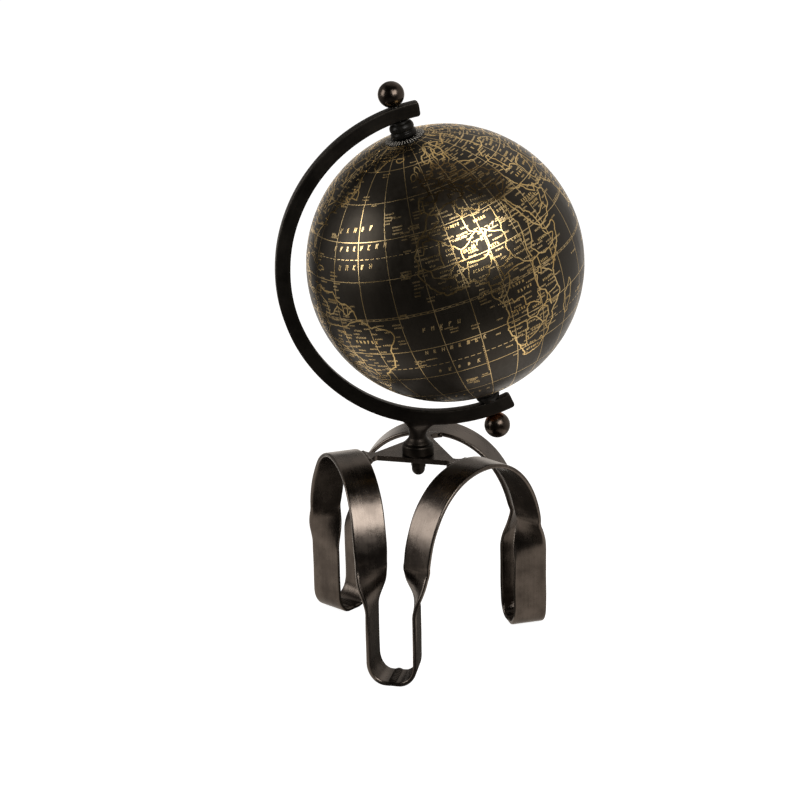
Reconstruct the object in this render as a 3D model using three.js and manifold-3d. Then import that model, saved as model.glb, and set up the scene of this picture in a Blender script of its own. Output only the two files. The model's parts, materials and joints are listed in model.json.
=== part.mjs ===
// Desktop globe on a three-legged forged strap stand.
// Millimetres, +Z up. The meridian arc lies in the XZ plane and opens towards +X,
// so the globe overhangs the stem to the right. The finished group is shifted so
// that the origin is the middle of its bounding box, on the surface it stands on.
import * as THREE from 'three';
import * as BufferGeometryUtils from 'three/addons/utils/BufferGeometryUtils.js';
import Module from 'manifold-3d';

const wasm = await Module();
wasm.setup();

const DEG = Math.PI / 180;
const GAP = 0.3;                      // clearance between pieces that meet

// Globe and its axis, measured from the globe's centre along the axis
const GLOBE_R = 100;
const GLOBE_CENTRE = [22.35, 0, 293.9];
const AXIS_TILT = 16.1 * DEG;         // the north pole leans towards -X
const SHELL_WALL = 2.4;
const POLE_HOLE_R = 5.3;
const SHELL_SEGMENTS = 48;
const AXLE_R = 2.5;
const AXLE_BORE_R = AXLE_R + GAP;
const DIAL_R = 14.6;
const DIAL_FROM = GLOBE_R + GAP;
const DIAL_THICK = 0.9;

// Meridian arc: a flat bar bent to part of a circle about the globe's centre
const ARC_OUTER = 123.1;
const ARC_INNER = 112.4;
const ARC_WIDTH = 7.5;
const ARC_OVERRUN = 7.8 * DEG;        // how far each end passes the axis
const ARC_STEPS = 44;
const ARC_EDGE = 0.8;
const BALL_R = 9.5;
const BALL_BORE_DEPTH = 12;

// Stem, plate and fixing
const PLATE_TOP = 149.2;
const PLATE_THICK = 4;
const FLANGE_R = 11.6;
const FLANGE_HEIGHT = 8;
const NECK_R = 6.5;
const STUD_R = 3;
const STUD_HOLE_R = STUD_R + GAP;
const STUD_TOP = 166;
const WASHER_THICK = 1.2;
const NUT_FLATS = 10;
const NUT_HEX_HEIGHT = 5;
const NUT_HEIGHT = 11.6;

// Base: three straps, each an arch between two feet. The base stands a little
// behind the stem, so the stem's flange comes close to the plate's front edge.
const BASE_CENTRE = new THREE.Vector3(0.6, 8, 0);
const FOOT_ANGLE = 7.8 * DEG;         // the right foot; the others follow every 120 degrees
const FOOT_RADIUS = 81.2;
const LEG_HALF_GAP = 16.5;            // a foot's leg centreline from the foot's middle plane
const STRAP_WIDTH = 25;
const STRAP_THICK = 3.2;
const STRAP_EDGE = 0.5;
const SPRING_Z = 70;                  // where the arch meets its straight legs
const ARCH_POWER = 2.2;               // a little fuller than an ellipse
const TWIST_TOP = 89;
const TWIST_BOTTOM = 54;
const TWIST = 56 * DEG;               // between the arch and the legs; 60 at the weld
const FOOT_RISE = 17;                 // height of the foot's rounded bottom
const FOOT_FLAT = 4.6;                // half width of the flat that touches the table
const WELD_HALF = 1.2;                // half width of the weld between two strap ends
const ARCHES = [                      // crown height and inward lean of each arch
  { name: 'rear', crown: 147.4, lean: 6 },
  { name: 'left', crown: 148.4, lean: 3 },
  { name: 'right', crown: 149.2, lean: 1.5 },
];
const FEET = ['rear', 'front', 'right'];

// Materials
const metal = (color, roughness) =>
  new THREE.MeshStandardMaterial({ color, roughness, metalness: 0.85 });
const bronzed = metal(0x5b524b, 0.42);
const charcoal = metal(0x37342f, 0.5);
const turned = metal(0x5a4a40, 0.28);
const polished = metal(0x6a5a4e, 0.22);
const steel = metal(0x8c8a86, 0.35);
const weldMetal = metal(0x4a423c, 0.55);
const shellBlack = new THREE.MeshStandardMaterial({ color: 0x1d1c1b, roughness: 0.3 });
const blackPlastic = new THREE.MeshStandardMaterial({ color: 0x141414, roughness: 0.35 });
const nylon = new THREE.MeshStandardMaterial({ color: 0x2a2a2a, roughness: 0.6 });

// ---- Solid helpers ---------------------------------------------------------

function signedVolume(geometry) {
  const p = geometry.attributes.position;
  const index = geometry.index;
  const a = new THREE.Vector3(), b = new THREE.Vector3(), c = new THREE.Vector3();
  let volume = 0;
  for (let i = 0; i < index.count; i += 3) {
    a.fromBufferAttribute(p, index.getX(i));
    b.fromBufferAttribute(p, index.getX(i + 1));
    c.fromBufferAttribute(p, index.getX(i + 2));
    volume += a.dot(b.cross(c)) / 6;
  }
  return volume;
}

// Merge shared vertices and turn the faces outwards.
function closed(geometry) {
  const source = geometry.clone();
  source.deleteAttribute('normal');
  source.deleteAttribute('uv');
  const merged = BufferGeometryUtils.mergeVertices(source, 1e-4);
  const kept = [];
  const index = merged.index.array;
  for (let i = 0; i < index.length; i += 3) {
    const [a, b, c] = [index[i], index[i + 1], index[i + 2]];
    if (a !== b && b !== c && c !== a) kept.push(a, b, c);
  }
  merged.setIndex(kept);
  if (signedVolume(merged) < 0) {
    for (let i = 0; i < kept.length; i += 3) [kept[i], kept[i + 1]] = [kept[i + 1], kept[i]];
    merged.setIndex(kept);
  }
  return merged;
}

function toManifold(geometry) {
  const g = closed(geometry);
  return new wasm.Manifold(new wasm.Mesh({
    numProp: 3,
    vertProperties: new Float32Array(g.attributes.position.array),
    triVerts: new Uint32Array(g.index.array),
  }));
}

function fromManifold(solid) {
  const mesh = solid.getMesh();
  const geometry = new THREE.BufferGeometry();
  const points = new Float32Array(mesh.numVert * 3);
  for (let i = 0; i < mesh.numVert; i++) {
    for (let j = 0; j < 3; j++) points[3 * i + j] = mesh.vertProperties[i * mesh.numProp + j];
  }
  geometry.setAttribute('position', new THREE.BufferAttribute(points, 3));
  geometry.setIndex([...mesh.triVerts]);
  return geometry;
}

function subtract(body, ...tools) {
  let solid = toManifold(body);
  for (const tool of tools) solid = solid.subtract(toManifold(tool));
  return fromManifold(solid);
}

function unite(...bodies) {
  let solid = toManifold(bodies[0]);
  for (const body of bodies.slice(1)) solid = solid.add(toManifold(body));
  return fromManifold(solid);
}

// A profile of [radius, height] pairs turned about Z.
function turnedSolid(profile, segments = 32) {
  const points = profile.map(([r, z]) => new THREE.Vector2(r, z));
  return closed(new THREE.LatheGeometry(points, segments).rotateX(Math.PI / 2));
}

// A ring or tube: the profile closes on itself.
const turnedRing = (profile, segments) => turnedSolid([...profile, profile[0]], segments);

function rod(radius, from, to, segments = 20) {
  return turnedSolid([[0, from], [radius, from], [radius, to], [0, to]], segments);
}

// Rings of points joined along their length and closed by flat ends.
function skin(rings) {
  const count = rings[0].length;
  const points = rings.flat();
  const index = [];
  for (let i = 0; i + 1 < rings.length; i++) {
    for (let j = 0; j < count; j++) {
      const a = i * count + j, b = i * count + (j + 1) % count;
      index.push(a, b, b + count, a, b + count, a + count);
    }
  }
  const last = (rings.length - 1) * count;
  for (let j = 1; j + 1 < count; j++) {
    index.push(0, j + 1, j, last, last + j, last + j + 1);
  }
  const geometry = new THREE.BufferGeometry().setFromPoints(points);
  geometry.setIndex(index);
  return closed(geometry);
}

// Rectangle of half sizes w and t with cut corners, as [w, t] pairs.
function barSection(w, t, edge) {
  return [
    [w, -t + edge], [w, t - edge], [w - edge, t], [-w + edge, t],
    [-w, t - edge], [-w, -t + edge], [-w + edge, -t], [w - edge, -t],
  ];
}

function smoothstep(x) {
  const s = THREE.MathUtils.clamp(x, 0, 1);
  return s * s * (3 - 2 * s);
}

const direction = (angle) => new THREE.Vector3(Math.cos(angle), Math.sin(angle), 0);

// ---- Assembly --------------------------------------------------------------

const object = new THREE.Group();
const stand = new THREE.Group();
object.add(stand);

// Everything on the globe's axis is built with that axis upright.
const tilted = new THREE.Group();
tilted.position.set(...GLOBE_CENTRE);
tilted.rotation.y = -AXIS_TILT;
object.add(tilted);

function place(group, name, geometry, material) {
  const mesh = new THREE.Mesh(geometry, material);
  mesh.name = name;
  group.add(mesh);
  return mesh;
}

// ---- Globe -----------------------------------------------------------------

// One half of the shell; side is 1 for the north and -1 for the south.
function hemisphere(side) {
  const profile = [];
  const outer = 12, inner = 6;
  const low = 0.15;                             // half of the seam at the equator
  const wallR = GLOBE_R - SHELL_WALL;
  const outerTop = Math.acos(POLE_HOLE_R / GLOBE_R);
  const innerTop = Math.acos(POLE_HOLE_R / wallR);
  for (let i = 0; i <= outer; i++) {
    const a = THREE.MathUtils.lerp(Math.asin(low / GLOBE_R), outerTop, i / outer);
    profile.push([GLOBE_R * Math.cos(a), side * GLOBE_R * Math.sin(a)]);
  }
  for (let i = inner; i >= 0; i--) {
    const a = THREE.MathUtils.lerp(Math.asin(low / wallR), innerTop, i / inner);
    profile.push([wallR * Math.cos(a), side * wallR * Math.sin(a)]);
  }
  return turnedRing(profile, SHELL_SEGMENTS);
}

// Flanged bush that lines a pole hole and runs on the axle.
function poleBush(side) {
  const body = POLE_HOLE_R - GAP;
  const inside = GLOBE_R - SHELL_WALL - 1.0;
  return turnedRing([
    [AXLE_BORE_R, side * (inside - 6)], [8, side * (inside - 6)], [8, side * (inside - 4.4)],
    [body, side * (inside - 3.4)], [body, side * 101], [AXLE_BORE_R, side * 101],
  ], 20);
}

// Two-tier spacer between the globe and the arc.
function spacer(side) {
  return turnedRing([
    [AXLE_BORE_R, 101.6], [8.6, 101.6], [9, 102.1], [9, 104.3], [8.5, 104.7], [8.5, 105.1],
    [9, 105.5], [9, 107.4], [8.3, 108.3], [6.6, 108.9], [6.2, 111.8], [AXLE_BORE_R, 111.8],
  ].map(([r, z]) => [r, side * z]), 20);
}

// Ball nut with a flat where it seats and a blind bore for the axle's end.
function ballNut(side) {
  const centre = ARC_OUTER + BALL_R;
  const seat = ARC_OUTER + GAP + 0.1;
  const floor = seat + BALL_BORE_DEPTH;
  const start = Math.asin((seat - centre) / BALL_R);
  const profile = [[0, floor], [AXLE_BORE_R, floor], [AXLE_BORE_R, seat]];
  const steps = 9;
  for (let i = 0; i <= steps; i++) {
    const a = THREE.MathUtils.lerp(start, Math.PI / 2, i / steps);
    const r = i === steps ? 0 : BALL_R * Math.cos(a);
    if (i === 0 && r <= AXLE_BORE_R) { profile.push([AXLE_BORE_R + 0.6, seat]); continue; }
    profile.push([r, centre + BALL_R * Math.sin(a)]);
  }
  return turnedSolid(profile.map(([r, z]) => [r, side * z]), 16);
}

place(tilted, 'globe_north_shell', hemisphere(1), shellBlack);
place(tilted, 'globe_south_shell', hemisphere(-1), shellBlack);

const joinR = GLOBE_R - SHELL_WALL - 0.8;
place(tilted, 'equator_joiner_ring',
  turnedRing([[joinR, -5], [joinR, 5], [joinR - 1.6, 5], [joinR - 1.6, -5]],
    SHELL_SEGMENTS), nylon);
place(tilted, 'north_pole_bush', poleBush(1), nylon);
place(tilted, 'south_pole_bush', poleBush(-1), nylon);
place(tilted, 'hour_dial', turnedRing([
  [POLE_HOLE_R, DIAL_FROM], [DIAL_R - 0.3, DIAL_FROM], [DIAL_R, DIAL_FROM + 0.3],
  [DIAL_R, DIAL_FROM + DIAL_THICK], [POLE_HOLE_R, DIAL_FROM + DIAL_THICK],
], 32), blackPlastic);
place(tilted, 'north_spacer', spacer(1), blackPlastic);
place(tilted, 'south_spacer', spacer(-1), blackPlastic);
place(tilted, 'north_ball_nut', ballNut(1), polished);
place(tilted, 'south_ball_nut', ballNut(-1), polished);
const axleEnd = ARC_OUTER + BALL_BORE_DEPTH - 0.2;
place(tilted, 'axle_rod', rod(AXLE_R, -axleEnd, axleEnd, 20), steel);

// ---- Meridian arc ----------------------------------------------------------

function meridianArc() {
  const mid = (ARC_OUTER + ARC_INNER) / 2;
  const section = barSection((ARC_OUTER - ARC_INNER) / 2, ARC_WIDTH / 2, ARC_EDGE);
  const rings = [];
  const from = Math.PI / 2 - ARC_OVERRUN;
  const to = 1.5 * Math.PI + ARC_OVERRUN;
  for (let i = 0; i <= ARC_STEPS; i++) {
    const a = THREE.MathUtils.lerp(from, to, i / ARC_STEPS);
    rings.push(section.map(([w, t]) =>
      new THREE.Vector3((mid + w) * Math.cos(a), t, (mid + w) * Math.sin(a))));
  }
  const bore = AXLE_BORE_R;
  return subtract(skin(rings),
    rod(bore, ARC_INNER - 6, ARC_OUTER + 6), rod(bore, -ARC_OUTER - 6, -ARC_INNER + 6));
}

place(tilted, 'meridian_arc', meridianArc(), charcoal);

// ---- Stem ------------------------------------------------------------------

// Height, half width to the left and to the right, half depth, and superellipse power.
const STEM_LEVELS = [
  [157.5, 9.4, 9.4, 9.4, 2], [158.3, 9.2, 9.2, 9.2, 2], [159.3, 8.4, 8.4, 8.4, 2],
  [160.5, 7.4, 7.4, 7.4, 2], [161.9, 6.7, 6.7, 6.7, 2], [163.4, NECK_R, NECK_R, NECK_R, 2],
  [165.2, 6.5, 6.8, 6.3, 2.1], [167.4, 6.7, 7.6, 5.8, 2.4], [169, 7, 8.9, 5.3, 2.8],
  [170.4, 7.5, 11, 4.7, 3.2], [171.6, 8.1, 14, 4.2, 3.6], [173, 9.2, 16, 3.9, 4],
  [174.6, 10.9, 16, 3.8, 4.4], [176.4, 13.6, 16, 3.7, 5],
];

// The neck is round below and spreads into the arc's flat section above.
function stem() {
  const sides = 24;
  const rings = STEM_LEVELS.map(([z, left, right, depth, power]) => {
    const ring = [];
    for (let j = 0; j < sides; j++) {
      const t = (2 * Math.PI * j) / sides;
      const c = Math.cos(t), s = Math.sin(t);
      ring.push(new THREE.Vector3(
        (c < 0 ? left : right) * Math.sign(c) * Math.abs(c) ** (2 / power),
        depth * Math.sign(s) * Math.abs(s) ** (2 / power), z));
    }
    return ring;
  });
  const arcClear = new THREE.CylinderGeometry(ARC_OUTER + GAP, ARC_OUTER + GAP, 40, 180)
    .translate(...GLOBE_CENTRE);
  return subtract(skin(rings), arcClear, rod(STUD_HOLE_R, 150, STUD_TOP + GAP, 20));
}

place(stand, 'stem', stem(), turned);

const flangeTop = PLATE_TOP + GAP + FLANGE_HEIGHT - 0.3;
place(stand, 'stem_flange', turnedRing([
  [STUD_HOLE_R, PLATE_TOP + GAP], [FLANGE_R - 0.7, PLATE_TOP + GAP],
  [FLANGE_R, PLATE_TOP + GAP + 0.7], [FLANGE_R, flangeTop - 1.5],
  [FLANGE_R - 0.45, flangeTop - 0.5], [FLANGE_R - 1.4, flangeTop], [STUD_HOLE_R, flangeTop],
], 28), turned);

// ---- Base ------------------------------------------------------------------

// Stations along one half of arch k, from its crown to the weld under a foot.
function halfStrap(k) {
  const arch = ARCHES[k];
  const facing = FOOT_ANGLE + (60 + 120 * k) * DEG;      // the arch's outward normal
  const normal = direction(facing);
  const along = direction(facing + Math.PI / 2);
  const foot = direction(facing + Math.PI / 3);
  const across = direction(facing + Math.PI / 3 + Math.PI / 2);
  const leg = foot.clone().multiplyScalar(FOOT_RADIUS).addScaledVector(across, -LEG_HALF_GAP);
  const out = leg.dot(normal), side = leg.dot(along), rise = arch.crown - SPRING_Z;
  const stations = [];
  const add = (p, angle) => stations.push({ p, w: direction(angle) });
  const twistAt = (z) => TWIST * smoothstep((TWIST_TOP - z) / (TWIST_TOP - TWIST_BOTTOM));

  for (let i = 0; i < 9; i++) {
    const a = (i / 9) * Math.PI / 2;
    const up = Math.cos(a) ** (2 / ARCH_POWER);
    const p = normal.clone().multiplyScalar(out - arch.lean * up ** 1.5)
      .addScaledVector(along, side * Math.sin(a) ** (2 / ARCH_POWER));
    p.z = SPRING_Z + rise * up;
    add(p, facing + twistAt(p.z));
  }
  for (let i = 0; i < 7; i++) {
    const z = THREE.MathUtils.lerp(SPRING_Z, FOOT_RISE, i / 7);
    add(new THREE.Vector3(leg.x, leg.y, z), facing + twistAt(z));
  }
  const floor = STRAP_THICK / 2;
  for (let i = 0; i <= 5; i++) {
    const a = (i / 5) * Math.PI / 2;
    const s = FOOT_FLAT + (LEG_HALF_GAP - FOOT_FLAT) * Math.cos(a);
    const p = foot.clone().multiplyScalar(FOOT_RADIUS).addScaledVector(across, -s);
    p.z = FOOT_RISE - (FOOT_RISE - floor) * Math.sin(a);
    add(p, facing + TWIST + (Math.PI / 3 - TWIST) * (1 - Math.cos(a)));
  }
  for (const s of [FOOT_FLAT - 0.7, WELD_HALF + GAP]) {
    const p = foot.clone().multiplyScalar(FOOT_RADIUS).addScaledVector(across, -s);
    p.z = floor;
    add(p, facing + Math.PI / 3);
  }
  return { stations, along };
}

function strap(k) {
  const { stations, along } = halfStrap(k);
  const flip = (v) => v.clone().addScaledVector(along, -2 * v.dot(along));
  const mirrored = stations.slice(1).reverse().map(({ p, w }) => ({ p: flip(p), w: flip(w) }));
  const path = [...mirrored, ...stations];
  const section = barSection(STRAP_WIDTH / 2, STRAP_THICK / 2, STRAP_EDGE);
  const rings = path.map(({ p, w }, i) => {
    const before = path[Math.max(i - 1, 0)].p, after = path[Math.min(i + 1, path.length - 1)].p;
    const tangent = after.clone().sub(before);
    const thick = new THREE.Vector3().crossVectors(tangent, w).normalize();
    return section.map(([x, y]) => p.clone().add(BASE_CENTRE)
      .addScaledVector(w, x).addScaledVector(thick, y));
  });
  return skin(rings);
}

ARCHES.forEach((arch, k) => place(stand, `leg_strap_${arch.name}`, strap(k), bronzed));

// Weld bead that joins two strap ends under a foot, proud on the inside.
function footWeld(k) {
  const angle = FOOT_ANGLE + 120 * (k + 1) * DEG;
  const shape = new THREE.Shape([
    [-WELD_HALF, 0.2], [WELD_HALF, 0.2], [WELD_HALF, 3.5], [3.4, 3.5], [2.6, 4.3], [1, 4.9],
    [-1, 4.9], [-2.6, 4.3], [-3.4, 3.5], [-WELD_HALF, 3.5],
  ].map(([x, y]) => new THREE.Vector2(x, y)));
  const length = STRAP_WIDTH - 1;
  return new THREE.ExtrudeGeometry(shape, { depth: length, bevelEnabled: false })
    .translate(0, 0, -length / 2)
    .rotateX(Math.PI / 2)
    .rotateZ(angle + Math.PI / 2)
    .translate(FOOT_RADIUS * Math.cos(angle), FOOT_RADIUS * Math.sin(angle), 0)
    .translate(BASE_CENTRE.x, BASE_CENTRE.y, 0);
}

FEET.forEach((name, k) => place(stand, `foot_weld_${name}`, closed(footWeld(k)), weldMetal));

// Distance from the base's centre to the inner edge of arch k at its crown.
function crownInner(k) {
  const out = FOOT_RADIUS * Math.cos(Math.PI / 3) + LEG_HALF_GAP * Math.sin(Math.PI / 3);
  return out - ARCHES[k].lean - STRAP_WIDTH / 2;
}

const CORNER_HALF = 2.8;              // half width of a plate corner before it flares
const FLARE_HALF = 11;                // half width where it meets the strap
const FLARE_LENGTH = 7;
const CORNER_WELD = 1.4;

// Triangular plate whose corners flare out to the crowns.
function basePlate() {
  const shape = new THREE.Shape();
  ARCHES.forEach((arch, k) => {
    const a = FOOT_ANGLE + (60 + 120 * k) * DEG;
    const end = crownInner(k) - CORNER_WELD - 2 * GAP;
    const at = (r, s) => new THREE.Vector2(
      r * Math.cos(a) - s * Math.sin(a), r * Math.sin(a) + s * Math.cos(a));
    const points = [
      at(end - FLARE_LENGTH, -CORNER_HALF - 0.4), at(end - 2.2, -CORNER_HALF - 1.6),
      at(end, -FLARE_HALF), at(end, FLARE_HALF),
      at(end - 2.2, CORNER_HALF + 1.6), at(end - FLARE_LENGTH, CORNER_HALF + 0.4),
    ];
    if (k === 0) shape.moveTo(points[0].x, points[0].y);
    else shape.lineTo(points[0].x, points[0].y);
    shape.quadraticCurveTo(points[1].x, points[1].y, points[2].x, points[2].y);
    shape.lineTo(points[3].x, points[3].y);
    shape.quadraticCurveTo(points[4].x, points[4].y, points[5].x, points[5].y);
  });
  shape.closePath();
  const hole = new THREE.Path();
  hole.absarc(-BASE_CENTRE.x, -BASE_CENTRE.y, STUD_HOLE_R, 0, 2 * Math.PI, true);
  shape.holes.push(hole);
  return new THREE.ExtrudeGeometry(shape, { depth: PLATE_THICK, bevelEnabled: false, curveSegments: 5 })
    .translate(BASE_CENTRE.x, BASE_CENTRE.y, PLATE_TOP - PLATE_THICK);
}

place(stand, 'base_plate', closed(basePlate()), bronzed);

// Weld between a plate corner and the strap's inner edge.
function cornerWeld(k) {
  const a = FOOT_ANGLE + (60 + 120 * k) * DEG;
  const r = crownInner(k) - GAP - CORNER_WELD;
  const mid = (PLATE_TOP - PLATE_THICK / 2 + ARCHES[k].crown) / 2;
  const shape = new THREE.Shape([
    [0, mid - 2.3], [CORNER_WELD, mid - 2], [CORNER_WELD, mid + 2], [0, mid + 2.3],
  ].map(([x, y]) => new THREE.Vector2(x, y)));
  const length = 2 * FLARE_HALF;
  return new THREE.ExtrudeGeometry(shape, { depth: length, bevelEnabled: false })
    .translate(r, 0, -length / 2)
    .rotateX(Math.PI / 2)
    .rotateZ(a)
    .translate(BASE_CENTRE.x, BASE_CENTRE.y, 0);
}

ARCHES.forEach((arch, k) =>
  place(stand, `corner_weld_${arch.name}`, closed(cornerWeld(k)), weldMetal));

// ---- Stud, washer and dome nut ----------------------------------------------

const washerTop = PLATE_TOP - PLATE_THICK - GAP;
const nutTop = washerTop - WASHER_THICK - GAP;
place(stand, 'washer', turnedRing([
  [STUD_HOLE_R, washerTop - WASHER_THICK], [6, washerTop - WASHER_THICK],
  [6, washerTop], [STUD_HOLE_R, washerTop],
], 20), steel);

function domeNut() {
  const hex = new THREE.CylinderGeometry(NUT_FLATS / Math.sqrt(3), NUT_FLATS / Math.sqrt(3),
    NUT_HEX_HEIGHT, 6).rotateX(Math.PI / 2).translate(0, 0, nutTop - NUT_HEX_HEIGHT / 2);
  const domeR = NUT_FLATS / 2 - 0.15;
  const shoulder = nutTop - NUT_HEIGHT + domeR;
  const profile = [[0, nutTop - 1], [domeR, nutTop - 1], [domeR, shoulder]];
  for (let i = 1; i <= 4; i++) {
    const t = (i / 4) * Math.PI / 2;
    profile.push([i === 4 ? 0 : domeR * Math.cos(t), shoulder - domeR * Math.sin(t)]);
  }
  const bore = rod(STUD_HOLE_R, nutTop - 8.3, nutTop + 2, 20);
  return subtract(unite(hex, turnedSolid(profile, 20)), bore);
}

place(stand, 'dome_nut', domeNut(), turned);
place(stand, 'centre_stud', rod(STUD_R, nutTop - 8, STUD_TOP, 20), steel);

// ---- Origin: bottom centre of the bounding box -------------------------------

object.updateMatrixWorld(true);
const box = new THREE.Box3().setFromObject(object, true);
const middle = box.getCenter(new THREE.Vector3());
object.position.set(-middle.x, -middle.y, -box.min.z);

export default object;
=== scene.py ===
"""Looks of the desktop globe on its three-legged strap stand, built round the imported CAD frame.

Shapes are worked out in millimetres and placed by two matrices: STAND puts the stem's axis upright
at its place, and TILTED has the globe's centre as origin and the globe's axis as Z.
"""
import json
import math
import random

import bmesh
import bpy
import numpy as np
from mathutils import Matrix, Vector


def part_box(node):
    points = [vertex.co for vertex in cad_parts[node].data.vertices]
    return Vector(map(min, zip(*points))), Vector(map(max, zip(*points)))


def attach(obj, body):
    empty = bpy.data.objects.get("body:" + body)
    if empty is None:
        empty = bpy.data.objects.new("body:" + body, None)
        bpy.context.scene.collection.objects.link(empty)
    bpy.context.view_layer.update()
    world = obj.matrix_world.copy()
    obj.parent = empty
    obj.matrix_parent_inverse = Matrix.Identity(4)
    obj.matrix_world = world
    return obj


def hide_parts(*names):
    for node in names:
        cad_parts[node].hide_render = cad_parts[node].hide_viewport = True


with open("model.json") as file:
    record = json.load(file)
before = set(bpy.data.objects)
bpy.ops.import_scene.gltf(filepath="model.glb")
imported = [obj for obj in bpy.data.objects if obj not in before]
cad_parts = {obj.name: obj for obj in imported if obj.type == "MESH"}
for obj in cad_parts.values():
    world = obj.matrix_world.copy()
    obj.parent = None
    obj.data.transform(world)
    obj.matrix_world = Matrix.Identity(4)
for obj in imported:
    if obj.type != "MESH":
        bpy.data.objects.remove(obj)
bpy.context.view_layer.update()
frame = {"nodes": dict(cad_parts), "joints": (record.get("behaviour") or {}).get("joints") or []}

MM = 0.001
hinge = frame["joints"][0]
GLOBE_CENTRE = Vector(hinge["pos_m"])
AXIS = Vector(hinge["axis"]).normalized()
flange_low, flange_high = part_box("stem_flange")
STEM_AXIS = Vector(((flange_low.x + flange_high.x) / 2, (flange_low.y + flange_high.y) / 2, 0))

to_mm = Matrix.Scale(MM, 4)
STAND = Matrix.Translation(STEM_AXIS) @ to_mm
TILTED = (Matrix.Translation(GLOBE_CENTRE)
          @ Vector((0, 0, 1)).rotation_difference(AXIS).to_matrix().to_4x4() @ to_mm)

# Sizes shared with the CAD source, in millimetres
GLOBE_R, SHELL_WALL, SEAM_HALF = 100.0, 2.4, 0.02
POLE_HOLE_R = 5.3
ARC_OUTER, ARC_INNER, ARC_WIDTH = 123.1, 112.4, 7.5
ARC_OVERRUN = math.radians(7.8)
BALL_R = 9.5
DIAL_R, DIAL_TICKS = 14.6, 40
TICK_END, LONG_TICK_FROM, SHORT_TICK_FROM = 14.2, 9.0, 10.6
PLATE_TOP, PLATE_THICK = 149.2, 4.0
FLANGE_R, FLANGE_HEIGHT = 11.6, 8.0
BASE_CENTRE = np.array([0.6, 8.0, 0.0])
FOOT_ANGLE = math.radians(7.8)
FOOT_RADIUS, LEG_HALF_GAP = 81.2, 16.5
STRAP_WIDTH, STRAP_THICK = 25.0, 3.2
SPRING_Z, ARCH_POWER = 70.0, 2.2
TWIST_TOP, TWIST_BOTTOM, TWIST = 89.0, 54.0, math.radians(56)
FOOT_RISE, FOOT_FLAT, WELD_HALF = 17.0, 4.6, 1.2
ARCHES = [("rear", 147.4, 6.0), ("left", 148.4, 3.0), ("right", 149.2, 1.5)]   # crown, lean
FEET = ["rear", "front", "right"]
CORNER_HALF, FLARE_HALF, FLARE_LENGTH, CORNER_WELD = 2.8, 11.0, 7.0, 1.4
NUT_FLATS, NUT_HEX_HEIGHT, NUT_HEIGHT, WASHER_THICK = 10.0, 5.0, 11.6, 1.5


# ---- Camera ------------------------------------------------------------------

def make_camera():
    """The viewing angle: from the front, a little to the left and above, slightly rolled."""
    aim = Vector((-0.0234, 0.0, 0.1914))
    azimuth, elevation = math.radians(-8.56), math.radians(20.59)
    distance, roll = 2.4489, math.radians(1.21)
    back = Vector((math.sin(azimuth) * math.cos(elevation),
                   -math.cos(azimuth) * math.cos(elevation), math.sin(elevation)))
    data = bpy.data.cameras.new("camera")
    data.lens = 151.39
    data.sensor_width = 36.0
    data.clip_end = 60.0
    camera = bpy.data.objects.new("camera", data)
    camera.location = aim + back * distance
    camera.rotation_mode = "QUATERNION"
    turn = Matrix.Rotation(-roll, 3, "Z").to_quaternion()
    camera.rotation_quaternion = (-back).to_track_quat("-Z", "Y") @ turn
    bpy.context.scene.collection.objects.link(camera)
    bpy.context.scene.camera = camera


make_camera()


# ---- Materials ---------------------------------------------------------------

def add(tree, kind, inputs=None, **properties):
    """A shader node. An input given as a socket is linked, and any other value is set."""
    node = tree.nodes.new("ShaderNode" + kind)
    for key, value in properties.items():
        setattr(node, key, value)
    for key, value in (inputs or {}).items():
        if isinstance(value, bpy.types.NodeSocket):
            tree.links.new(value, node.inputs[key])
        else:
            node.inputs[key].default_value = value
    return node


def noise(tree, vector, scale, detail=4.0, roughness=0.55):
    node = add(tree, "TexNoise", {"Vector": vector, "Scale": scale, "Detail": detail,
                                  "Roughness": roughness})
    return node.outputs[0]


def stretch(tree, vector, x, y, z):
    return add(tree, "VectorMath", {0: vector, 1: (x, y, z)}, operation="MULTIPLY").outputs[0]


def span(tree, value, low, high, to_low, to_high):
    """Maps low..high to to_low..to_high, and holds it there."""
    node = add(tree, "MapRange", {0: value, 1: low, 2: high, 3: to_low, 4: to_high})
    return node.outputs[0]


def combine(tree, operation, a, b):
    return add(tree, "Math", {0: a, 1: b}, operation=operation).outputs[0]


def blend_colour(tree, share, a, b):
    node = add(tree, "Mix", {0: share, 6: a, 7: b}, data_type="RGBA")
    return node.outputs[2]


def bump(tree, height, strength, depth_mm, normal=None):
    inputs = {"Height": height, "Strength": strength, "Distance": depth_mm * MM}
    if normal is not None:
        inputs["Normal"] = normal
    return add(tree, "Bump", inputs).outputs[0]


def new_material(name, **plain):
    """A material, its node tree and its shader, with the plain values set on the shader."""
    material = bpy.data.materials.new(name)
    material.use_nodes = True
    tree = material.node_tree
    shader = tree.nodes["Principled BSDF"]
    for key, value in plain.items():
        shader.inputs[key.replace("_", " ")].default_value = value
    return material, tree, shader


def link(tree, shader, **sockets):
    """Links sockets to the shader's inputs."""
    for key, socket in sockets.items():
        tree.links.new(socket, shader.inputs[key.replace("_", " ")])


def object_place(tree):
    return add(tree, "TexCoord").outputs["Object"]


def surface_place(tree):
    """Each mesh's own coordinates: along its length, across it and through it, in metres."""
    return add(tree, "Attribute", attribute_name="lay").outputs["Vector"]


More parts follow.
